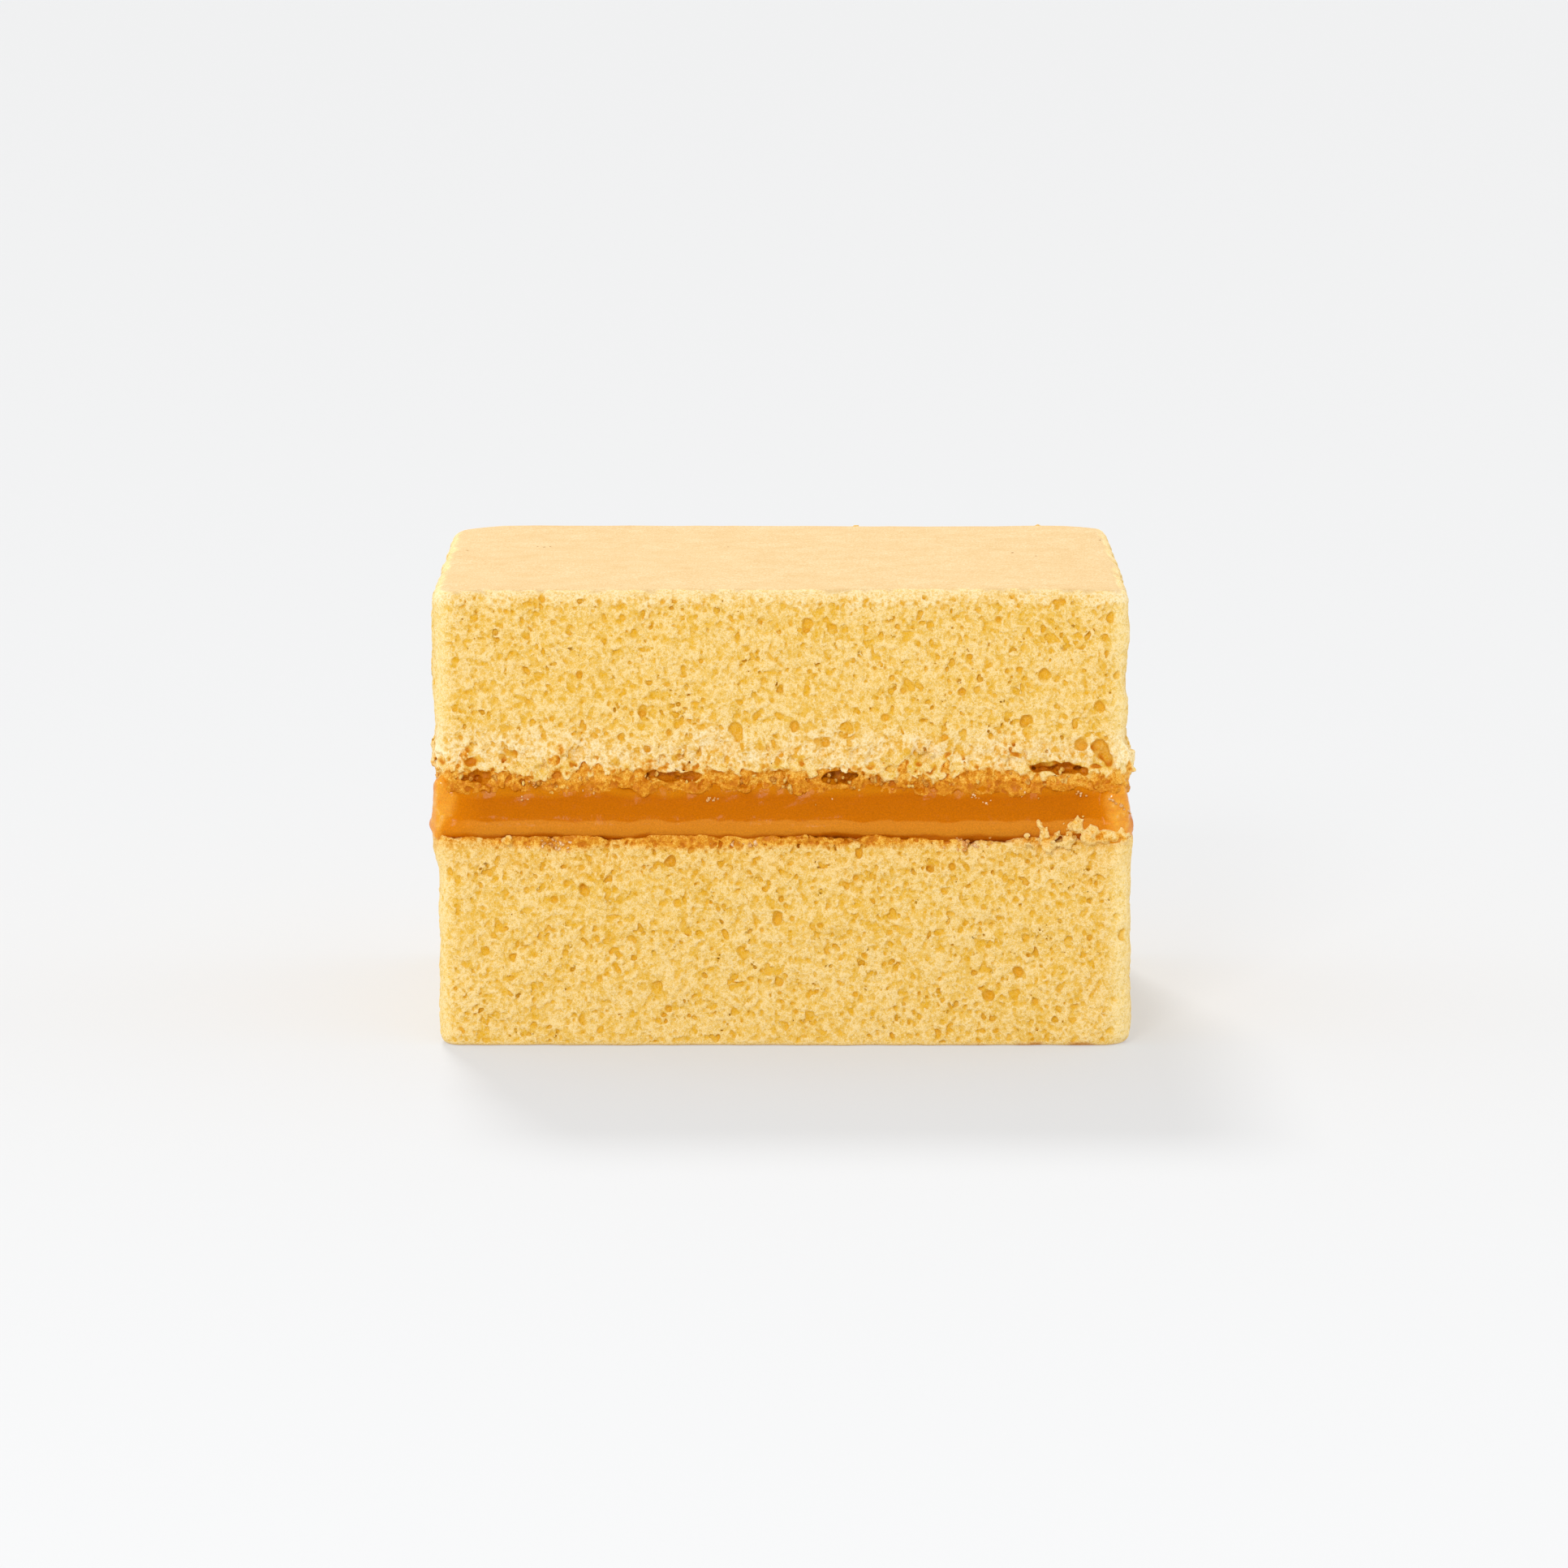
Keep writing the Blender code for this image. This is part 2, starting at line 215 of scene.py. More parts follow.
def smooth_step(value, low=0.0, high=1.0):
    """From 0 at a low value to 1 at a high one, level at both ends."""
    value = np.clip((value - low) / (high - low), 0.0, 1.0)
    return value * value * (3.0 - 2.0 * value)


def fade_in(value, span):
    """From 0 below a span to 1 above it."""
    return smooth_step(value, *span)


def fade_out(value, span):
    """From 1 below a span to 0 above it."""
    return smooth_step(-value, -span[1], -span[0])


class Grain:
    """Smooth random values through space, alike wherever and however finely they're read."""

    SIZE = 64
    SPREAD = 3.0  # brings the values to a standard deviation of about one

    def __init__(self, wavelength, seed):
        values = np.random.default_rng(seed).normal(size=(self.SIZE,) * 3)
        self.table = (self.SPREAD * values).astype(np.float32)
        self.wavelength = wavelength

    def corners(self, coords):
        place = np.asarray(coords, dtype=np.float64) / self.wavelength
        cell = np.floor(place).astype(int)
        t = place - cell
        shares = (
            (1 - t) ** 3 / 6,
            (3 * t**3 - 6 * t**2 + 4) / 6,
            (-3 * t**3 + 3 * t**2 + 3 * t + 1) / 6,
            t**3 / 6,
        )
        return [((cell + k - 1) % self.SIZE, share) for k, share in enumerate(shares)]

    def weights(self, coords):
        matrix = np.zeros((len(coords), self.SIZE), dtype=np.float32)
        for column, share in self.corners(coords):
            matrix[np.arange(len(coords)), column] += share
        return matrix

    def on_grid(self, xs, ys, zs):
        field = np.tensordot(self.weights(xs), self.table, (1, 0))
        field = np.matmul(self.weights(ys), field)
        return np.matmul(field, self.weights(zs).T)

    def at(self, points):
        total = np.zeros(len(points))
        for (i, a), (j, b), (k, c) in product(*(self.corners(coords) for coords in points.T)):
            total += a * b * c * self.table[i, j, k]
        return total


def swell(x, y, z, size, wavelength, seed):
    """The same smooth offset as the solids have."""
    point = Vector((x / wavelength + seed, y / wavelength + 0.5 * seed, z / wavelength))
    return size * noise.noise(point)


class Grid:
    """Points in space at an even spacing, and values read between them."""

    def __init__(self, low, high, step):
        self.step = step
        self.axes = [np.arange(a, b + step, step) for a, b in zip(low, high)]
        self.x, self.y, self.z = np.ix_(*self.axes)
        self.level = self.z.astype(np.float32)
        self.low = np.array(low)

    def read(self, field, points):
        place = (points - self.low) / self.step
        place = np.clip(place, 0.0, np.array(field.shape) - 1.001)
        cell = np.floor(place).astype(int)
        t = place - cell
        total = np.zeros(len(points))
        for corner in np.ndindex(2, 2, 2):
            a, b, c = (t[:, i] if side else 1 - t[:, i] for i, side in enumerate(corner))
            total += a * b * c * field[tuple((cell + corner).T)]
        return total


def surface_net(field, grid):
    """The surface where a field is zero, as points and quads facing out of the negative."""
    inside = field < 0
    sides = slice(None, -1), slice(1, None)
    corner_count = np.zeros([n - 1 for n in field.shape], dtype=np.int8)
    for corner in product(sides, repeat=3):
        corner_count += inside[corner]
    crossed = (corner_count > 0) & (corner_count < 8)
    number = np.full(crossed.shape, -1, dtype=np.int64)
    cells = np.argwhere(crossed)
    number[crossed] = np.arange(len(cells))
    total = np.zeros((len(cells), 3))
    count = np.zeros(len(cells))
    for axis in range(3):
        for corner in product(*(range(1 if a == axis else 2) for a in range(3))):
            start = cells + corner
            end = start.copy()
            end[:, axis] += 1
            value, beyond = field[tuple(start.T)], field[tuple(end.T)]
            hit = (value < 0) != (beyond < 0)
            point = start[hit].astype(np.float64)
            point[:, axis] += value[hit] / (value[hit] - beyond[hit])
            total[hit] += point
            count[hit] += 1
    points = grid.low + grid.step * total / count[:, None]
    quads = []
    for axis in range(3):
        u, v = (axis + 1) % 3, (axis + 2) % 3
        starts = np.argwhere(np.diff(inside, axis=axis))
        keep = (starts[:, u] > 0) & (starts[:, v] > 0) & (starts < number.shape).all(axis=1)
        starts = starts[keep]
        ring = []
        for du, dv in ((0, 0), (1, 0), (1, 1), (0, 1)):
            cell = starts.copy()
            cell[:, u] -= du
            cell[:, v] -= dv
            ring.append(number[tuple(cell.T)])
        ring = np.stack(ring, axis=1)
        outward = inside[tuple(starts.T)]
        ring[~outward] = ring[~outward][:, ::-1]
        quads.append(ring)
    return points, np.concatenate(quads)


def mesh_object(name, points, faces):
    """An object from points in millimetres, moved to the solids' own origin."""
    mesh = bpy.data.meshes.new(name)
    mesh.vertices.add(len(points))
    mesh.vertices.foreach_set("co", ((points + CAD_SHIFT) * MM).astype(np.float32).ravel())
    sides = faces.shape[1]
    mesh.loops.add(len(faces) * sides)
    mesh.loops.foreach_set("vertex_index", faces.astype(np.int32).ravel())
    mesh.polygons.add(len(faces))
    mesh.polygons.foreach_set("loop_start", np.arange(0, len(faces) * sides, sides, dtype=np.int32))
    mesh.update(calc_edges=True)
    mesh.validate()
    obj = bpy.data.objects.new(name, mesh)
    bpy.context.scene.collection.objects.link(obj)
    return obj


def decimated(obj, limit):
    """Thins a mesh out to a number of triangles and applies that."""
    triangles = sum(len(polygon.vertices) - 2 for polygon in obj.data.polygons)
    if triangles > limit:
        modifier = obj.modifiers.new("thin", "DECIMATE")
        modifier.ratio = limit / triangles
        depsgraph = bpy.context.evaluated_depsgraph_get()
        thin = bpy.data.meshes.new_from_object(obj.evaluated_get(depsgraph))
        obj.modifiers.clear()
        old = obj.data
        obj.data = thin
        bpy.data.meshes.remove(old)
    obj.data.shade_smooth()
    return obj


def values_of(items, name, size=1):
    values = np.empty(len(items) * size, dtype=np.float32)
    items.foreach_get(name, values)
    return values if size == 1 else values.reshape(-1, size)


def vertex_points(obj):
    """An object's points in millimetres, in the part's own coordinates."""
    return values_of(obj.data.vertices, "co", 3) / MM - CAD_SHIFT


def add_value(obj, name, values):
    attribute = obj.data.attributes.new(name, "FLOAT", "POINT")
    attribute.data.foreach_set("value", np.asarray(values, dtype=np.float32))


def blurred(field, reach):
    """A field averaged over a small box round each point."""
    for axis in range(3):
        total = np.cumsum(field, axis=axis, dtype=np.float32)
        low = np.take(total, range(0, total.shape[axis] - 2 * reach - 1), axis=axis)
        high = np.take(total, range(2 * reach + 1, total.shape[axis]), axis=axis)
        inner = (high - low) / (2 * reach + 1)
        pad = [(0, 0)] * 3
        pad[axis] = (reach + 1, reach)
        field = np.pad(inner, pad, mode="edge")
    return field


# The crumb's bubbles: (cell of space that holds one, smallest radius, largest radius,
# share of the cells that hold one)
FOAM_BOWLS = (0.56, 0.26, 0.42, 0.95)
FOAM_PORES = (0.8, 0.17, 0.34, 0.72)
FOAM_HOLES = (1.5, 0.26, 0.52, 0.6)
FOAM_CELLS = 64  # the pattern of cells repeats after this many


def foam(points, sizes, seed):
    """How far inside a bubble each point lies, negative outside all of them."""
    cell, smallest, largest, share = sizes
    draw = np.random.default_rng(seed)
    size = (FOAM_CELLS,) * 3
    offset = draw.uniform(0.0, 1.0, (*size, 3)).astype(np.float32)
    radius = smallest + (largest - smallest) * draw.uniform(0.0, 1.0, size) ** 2
    radius = np.where(draw.uniform(0.0, 1.0, size) < share, radius, -9.0).astype(np.float32)
    inside = np.full(len(points), -9.0, dtype=np.float32)
    place = points / cell
    base = np.floor(place).astype(np.int32)
    for step in np.ndindex(3, 3, 3):
        home = base + np.array(step, dtype=np.int32) - 1
        slot = tuple((home % FOAM_CELLS).T)
        gap = (home + offset[slot] - place) * cell
        far = np.sqrt(np.einsum("ij,ij->i", gap, gap))
        np.maximum(inside, radius[slot] - far, out=inside)
    return inside


def soft_max(a, b, blend):
    """The larger of two fields, with the crease between them rounded off."""
    near = np.maximum(blend - np.abs(a - b), 0.0) / blend
    return np.maximum(a, b) + 0.25 * blend * near**2


def round_meet(a, b, radius):
    """The meeting of two solids' fields, with the edge between them rounded."""
    across = np.maximum(a + radius, 0.0)
    up = np.maximum(b + radius, 0.0)
    return np.minimum(np.maximum(a, b), -radius) + np.sqrt(across**2 + up**2)


def relief_map(seed):
    """The solids' relief over a wall's strip, one value a millimetre."""
    stops = np.arange(0.0, AROUND + 1.0, 1.0)
    heights = np.arange(0.0, HEIGHT + 2.0, 1.0)
    table = np.empty((len(stops), len(heights)), dtype=np.float32)
    for i, along in enumerate(stops):
        at = outline(along % AROUND)[0]
        for k, z in enumerate(heights):
            broad = swell(at.x, at.y, z, BROAD_SWELL, BROAD_WAVE, seed)
            table[i, k] = broad + swell(at.x, at.y, z, CRUMB_SWELL, CRUMB_WAVE, seed + 5)
    return table


def plan_maps(xs, ys, shift):
    """For each column of a grid: its distance to the outline and the distance along it."""
    x = np.abs(xs - shift)[:, None]
    y = ys[None, :]
    corner = np.where(y < 0, FRONT_CORNER, BACK_CORNER)
    qx = x - (WIDTH / 2 - corner)
    qy = np.abs(y) - (DEPTH / 2 - corner)
    outside = np.hypot(np.maximum(qx, 0), np.maximum(qy, 0))
    distance = outside + np.minimum(np.maximum(qx, qy), 0) - corner
    along = np.zeros(distance.shape)
    for i, place in enumerate(xs - shift):
        rows = np.flatnonzero(np.abs(distance[i]) < 4.0)
        gap = (OUTLINE_AT[:, 0] - place) ** 2 + (OUTLINE_AT[:, 1] - ys[rows, None]) ** 2
        along[i, rows] = STOPS[np.argmin(gap, axis=1)]
    return distance.astype(np.float32), along


def top_heights(xs, ys):
    """The height of the top face over each column."""
    x, y = np.meshgrid(xs, ys, indexing="ij")
    corner = np.hypot(WIDTH / 2 - np.abs(x), DEPTH / 2 - np.abs(y))
    droop = CORNER_DROOP * (1.0 - smooth_step(corner / CORNER_REACH))
    droop = droop * np.where(y < 0, FRONT_DROOP_SHARE, 1.0)
    coarse, reach = 2.0, 50.0
    rows = np.arange(-reach, reach, coarse)
    seed = SEEDS["sponge_top"] + 2
    table = np.array([[swell(a, b, 0.0, TOP_SWELL, TOP_WAVE, seed) for b in rows] for a in rows])
    across, deep = ((np.clip(v, 1 - reach, reach - 3) + reach) / coarse for v in (xs, ys))
    return HEIGHT + between(between(table, across), deep, last=True) - droop


def wall_relief(table, along, zs):
    """The relief beside each column of a grid and at each height."""
    rows = np.clip(zs, 0.0, HEIGHT + 0.9)
    return between(between(table, along), rows, last=True).astype(np.float32)


NEAR_IN, NEAR_OUT = 1.1, 0.4  # bubbles are worked out this close to the surface
WARP = [Grain(0.55, seed) for seed in (101, 102, 103)]
WARP_SIZE = 0.17
STRETCH = 1.2  # bubbles are this much taller than wide
PEEL = 0.15
BOWL_SHARE = 0.75  # how deep a bowl is for its bubble's reach
PORE_DEPTH, HOLE_DEPTH, DEEPEST = 0.24, 0.36, 1.2
CREASE = 0.15  # how far the creases where forms meet are rounded off
PEEL_FADE, FOOT_FADE, CORNER_FADE = 1.3, 0.4, 0.6  # where the bubbles grow shallower
FOOT_SKIN = 0.3
CORNER_WIDE, CORNER_DEEP = (WIDTH / 2 - 3.2, WIDTH / 2 - 0.8), (30.5, 34.5)
RUGGED = Grain(1.6, 110)
GRANULES = Grain(0.42, 111)
TORN = Grain(3.0, 113)
TORN_FINE = Grain(1.1, 114)
TEETH = Grain(0.7, 115)
RAGGED = Grain(0.6, 116)
GRIT = Grain(0.26, 117)
RUGGED_OUT, GRANULES_OUT, RAGGED_SHARE = 0.08, 0.045, 0.2

# The upper sponge beside the filling: the soaked foot, and the torn rim that stands out
SOAKED_TO, SOAK_BLEND = 36.0, (-0.35, 0.35)
NOTCHES_FROM, NOTCHES_TO = 0.9, 1.4
SOAKED_BACK, SOAKED_CORNERS = 0.4, (2.0, 6.0)
RIM_RISE, RIM_FALL, RIM_OUT = (35.3, 36.6), (38.0, 41.5), 0.1
# The swellings of both sponges at the front corners
SWELL_ACROSS, SWELL_ROUND, SWELL_UNDER = (42.0, 44.0), (2.0, 7.0), (37.0, 39.5)
UPPER_RIGHT_OUT, LOWER_LEFT_OUT, LOWER_RIGHT_OUT = 0.85, 0.7, 0.45
LOWER_RIGHT_ACROSS, LOWER_FRONT, LOWER_OVER = (42.5, 44.0), (27.0, 32.0), (22.5, 26.0)
FOOT_EDGE_MORE, FOOT_SIDES = 0.6, (WIDTH / 2 - 3.0, WIDTH / 2 - 0.5)


def soak_level(torn, torn_fine, teeth):
    """How high the syrup has soaked into the upper sponge's torn underside."""
    notches = np.maximum(torn_fine + 0.5 * teeth - NOTCHES_FROM, 0.0)
    return SOAKED_TO + 0.3 * torn + 0.55 * teeth + 1.2 * np.minimum(notches, NOTCHES_TO)


def near_values(field, near):
    """A field's values at the points near the surface."""
    return np.broadcast_to(field, near.shape)[near]


def carve_pores(field, grid, pores, shift):
    """Hollows the solids' largest pores out of a sponge's field."""
    for pore in pores:
        at, outward = outline(pore.along)
        reach = 1.4 * max(pore.half_width, pore.half_height, pore.depth)
        middle = (at.x + shift, at.y, pore.height)
        ends = [np.searchsorted(axis, (m - reach, m + reach)) for axis, m in zip(grid.axes, middle)]
        if any(high - low < 3 for low, high in ends):
            continue
        block = tuple(slice(low, high) for low, high in ends)
        near = [axis[part] for axis, part in zip(grid.axes, block)]
        x, y, z = np.meshgrid(*[a - m for a, m in zip(near, middle)], indexing="ij")
        inward = np.maximum(-(x * outward.x + y * outward.y), 0.0)
        across = x * outward.y - y * outward.x
        ragged = 1.0 + RAGGED_SHARE * RAGGED.on_grid(*near)
        far = np.sqrt(
            (across / pore.half_width) ** 2
            + (z / pore.half_height) ** 2
            + (inward / pore.depth) ** 2
        )
        inside = (ragged - far) * min(pore.half_width, pore.half_height, pore.depth)
        field[block] = soft_max(field[block], inside, CREASE)


Relief = namedtuple("Relief", "rugged torn torn_fine granules ragged grit teeth")


def relief_of(xs, ys, zs):
    """The crumb's relief at every point of a grid."""
    grains = RUGGED, TORN, TORN_FINE, GRANULES, RAGGED, GRIT
    plain = [grain.on_grid(xs, ys, zs) for grain in grains]
    return Relief(*plain, TEETH.on_grid(xs, ys, 0.5 * zs))


def upper_solid(grid, wall, relief):
    """The upper sponge before its bubbles: its field, its wall and the depth under its peel."""
    rugged, torn, torn_fine, granules = relief[:4]
    teeth, level = relief.teeth, grid.level
    top = level - top_heights(*grid.axes[:2])[..., None]
    soaked = fade_in(soak_level(torn, torn_fine, teeth) + 0.15 * granules - level, SOAK_BLEND)
    rim = fade_in(level, RIM_RISE) * fade_out(level, RIM_FALL)
    corner = np.hypot(WIDTH / 2 - np.abs(grid.x), DEPTH / 2 + grid.y)
    recess = 0.15 + 0.85 * fade_in(corner, SOAKED_CORNERS)
    right = fade_in(grid.x, SWELL_ACROSS) * fade_out(corner, SWELL_ROUND)
    wall = wall + RUGGED_OUT * rugged + soaked * recess * (SOAKED_BACK + 0.15 * torn_fine)
    wall = wall - UPPER_RIGHT_OUT * right * fade_out(level, SWELL_UNDER)
    wall = wall - rim * (RIM_OUT + 0.2 * teeth + 0.15 * granules)
    wall = wall - soaked * (0.16 * granules + 0.1 * teeth)
    low = FILLING_TOP - LAYER_GAP + 0.3 * torn_fine + 0.2 * torn - level
    solid = round_meet(round_meet(wall, top, TOP_EDGE), low, INNER_EDGE)
    return solid, wall, top + PEEL + 0.2 * torn_fine


def lower_solid(grid, wall, relief):
    """The lower sponge before its bubbles: its field, its wall and the depth over its foot."""
    front, level = fade_in(-grid.y, LOWER_FRONT), grid.level
    left = fade_in(-grid.x, SWELL_ACROSS) * front
    right = fade_in(grid.x, LOWER_RIGHT_ACROSS) * front
    out = (LOWER_LEFT_OUT * left + LOWER_RIGHT_OUT * right) * fade_in(level, LOWER_OVER)
    wall = wall + RUGGED_OUT * relief.rugged - out
    rim = FILLING_BOTTOM - 0.1 + 0.2 * relief.torn_fine + 0.2 * relief.torn
    foot = FOOT_EDGE_FRONT + FOOT_EDGE_MORE * fade_in(np.abs(grid.x), FOOT_SIDES)
    solid = round_meet(wall, -level, foot)
    solid = round_meet(solid, level - rim, INNER_EDGE)
    return solid, wall, FOOT_SKIN - level


def add_shards(field, solid, grid, relief):
    """Joins the shards that stand up over the filling to the lower sponge."""
    rough = SHARD_ROUGH * relief.ragged + SHARD_GRAIN * (relief.granules + relief.grit)
    for x, z, half_width, half_height, lean in SHARDS:
        at = outline(front_along(x))[0]
        above = grid.level - z
        across = (grid.x - x - LOWER_SHIFT - lean * above) / half_width
        up = above / half_height
        out = (grid.y - at.y + SHARD_OUT) / SHARD_HALF_DEPTH
        far = np.sqrt(across**2 + up**2 + out**2)
        shard = (far - 1.0) * half_width + rough
        field = -soft_max(-field, -shard, CREASE)
        solid = np.minimum(solid, shard)
    return field, solid


def sponge_field(name, grid):
    """The field of a sponge layer, with and without its pores."""
    xs, ys, zs = grid.axes
    upper = name == "sponge_top"
    distance, along = plan_maps(xs, ys, 0.0 if upper else LOWER_SHIFT)
    wall = distance[..., None] - wall_relief(relief_map(SEEDS[name]), along, zs)
    relief = relief_of(xs, ys, zs)
    make_solid = upper_solid if upper else lower_solid
    solid, wall, skin = make_solid(grid, wall, relief)
    solid = solid.astype(np.float32)
    field = solid.copy()
    near = (solid > -NEAR_IN) & (solid < NEAR_OUT) & (wall > -2 * NEAR_IN) & (skin < 0)
    points = grid.low + grid.step * np.argwhere(near)
    warp = np.stack([broad.on_grid(xs, ys, zs)[near] for broad in WARP], axis=1)
    points = points + WARP_SIZE * warp
    points[:, 2] /= STRETCH
    points = points.astype(np.float32)
    base = solid[near]
    bowls = foam(points, FOAM_BOWLS, SEEDS[name] + 200)
    carved = base + BOWL_SHARE * np.maximum(bowls, 0.0)
    uneven = np.minimum(1.0 + 0.25 * relief.rugged[near], DEEPEST)
    for sizes, deep, offset in ((FOAM_PORES, PORE_DEPTH, 300), (FOAM_HOLES, HOLE_DEPTH, 400)):
        holes = foam(points, sizes, SEEDS[name] + offset)
        carved = soft_max(carved, np.minimum(holes, base + deep * uneven), CREASE)
    corners = fade_in(np.abs(grid.x), CORNER_WIDE) * fade_in(-grid.y, CORNER_DEEP)
    fade = smooth_step(-near_values(skin, near), 0.0, PEEL_FADE if upper else FOOT_FADE)
    fade = fade * (1.0 - CORNER_FADE * near_values(corners, near))
    field[near] = base + fade * (carved - base + GRANULES_OUT * relief.granules[near])
    if upper:
        span = FILLING_TOP + LAYER_GAP + TORN_HEIGHT, HEIGHT - TOP_EDGE
        pores = scatter_pores(name, *span, torn_gaps(name)) + front_pores(AMBER_HOLLOWS)
        carve_pores(field, grid, pores, 0.0)
    else:
        span = FOOT_EDGE_SIDES, FILLING_BOTTOM - LAYER_GAP - 2.5 * INNER_EDGE
        carve_pores(field, grid, scatter_pores(name, *span, []), LOWER_SHIFT)
        field, solid = add_shards(field, solid, grid, relief)
    return field, solid


FRONT_CUT = -31.5  # where the finer front pieces of a sponge end
FRONT_STEP, REST_STEP = 0.165 * COARSER, 0.33 * COARSER
FRONT_LIMIT, REST_LIMIT = 170000, 95000  # triangles
OVERLAP = 1.0  # how far the front pieces reach into the rest
CAVITY_REACH = 0.5  # how far round a point its hollowness is judged
# The crumb's colour paints shade into its pores from these
DEPTHS = ("depth", "cavity")  # how deep a point lies and how hollow it is round it
FRONT_SPACE, BACK_SPACE = 2.2, 1.2
SIDE_SPACE, SIDE_SPACE_RIGHT = 1.6, 2.0
SPACE_UNDER, SPACE_OVER = 1.4, 2.9


def sponge_pieces(name, low, high):
    """A sponge layer's pieces: two halves of its front, made finer, and the rest."""
    pieces = []
    spans = {
        "front": (-DEPTH / 2 - FRONT_SPACE, FRONT_CUT + OVERLAP, FRONT_STEP),
        "rest": (FRONT_CUT, DEPTH / 2 + BACK_SPACE, REST_STEP),
    }
    for part, (near, far, step) in spans.items():
        grid_low = (-WIDTH / 2 - SIDE_SPACE, near, low - SPACE_UNDER)
        grid_high = (WIDTH / 2 + SIDE_SPACE_RIGHT, far, high + SPACE_OVER)
        grid = Grid(grid_low, grid_high, step)
        field, solid = sponge_field(name, grid)
        points, quads = surface_net(field, grid)
        shares = {part: quads}
        if part == "front":
            left = points[quads].mean(axis=1)[:, 0] < 0
            shares = {"front_left": quads[left], "front_right": quads[~left]}
        occupied = blurred((field < 0) * 1.0, max(1, round(CAVITY_REACH / step)))
        for side, faces in shares.items():
            used, faces = np.unique(faces, return_inverse=True)
            piece = mesh_object(f"{name}_{side}", points[used], faces.reshape(-1, 4))
            piece = decimated(piece, REST_LIMIT if part == "rest" else FRONT_LIMIT)
            for key, values in zip(DEPTHS, (-solid, occupied)):
                add_value(piece, key, grid.read(values, vertex_points(piece)))
            pieces.append(piece)
    return pieces


# The filling's profile: height, and how far it stands out from the outline
PROFILE = (
    (26.5, -1.2),
    (26.95, -0.75),
    (27.35, -0.25),
    (27.7, 0.14),
    (28.15, 0.45),
    (28.6, 0.54),
    (29.1, 0.43),
    (29.7, 0.18),
    (30.3, 0.02),
    (31.4, -0.1),
    (32.4, -0.3),
    (33.0, -0.5),
    (33.8, -0.8),
    (34.6, -1.4),
)
CARAMEL_STEP = 0.4 * COARSER
CARAMEL_ROWS = 40
LIP_WAVE, LIP_WAVE_OUT, LIP_SAG = 13.0, 0.3, 0.5
FILM_RISE, FILM_DROP = 1.5, 0.5  # how far the film at the corners spreads up and down
FILM_HALF_WIDTH, FILM_EDGE, FILM_OUT = 0.9, (-1.1, 0.7), 0.3
# The filling near the corners is painted a lighter orange: a painted glow of light shining through
# the caramel there
PAINTED_GLOW_REACH = (1.5, 6.5)  # how far from the corners the filling glows
BULGE_OUT, BULGE_ACROSS, BULGE_DEEP = 0.6, (41.5, 43.5), (24.0, 32.0)
# Shares of the profile from the lip up: where the film is tucked in, and what rises or sags
LIP_END, INNER_END, TUCKED_IN = (0.0, 0.12), (0.88, 1.0), 0.7
LIP_PART, INNER_HALF = (0.0, 0.35), (0.5, 1.0)
FRONT_LEFT = AROUND / 2 - (WIDTH / 2 - FRONT_CORNER) - QUARTER * FRONT_CORNER / 2
CARAMEL_WAVES = Grain(2.2, 120)
CARAMEL_FINE = Grain(0.7, 121)
CARAMEL_EDGE = Grain(1.3, 122)
LIP_DRIPS = Grain(4.5, 123)


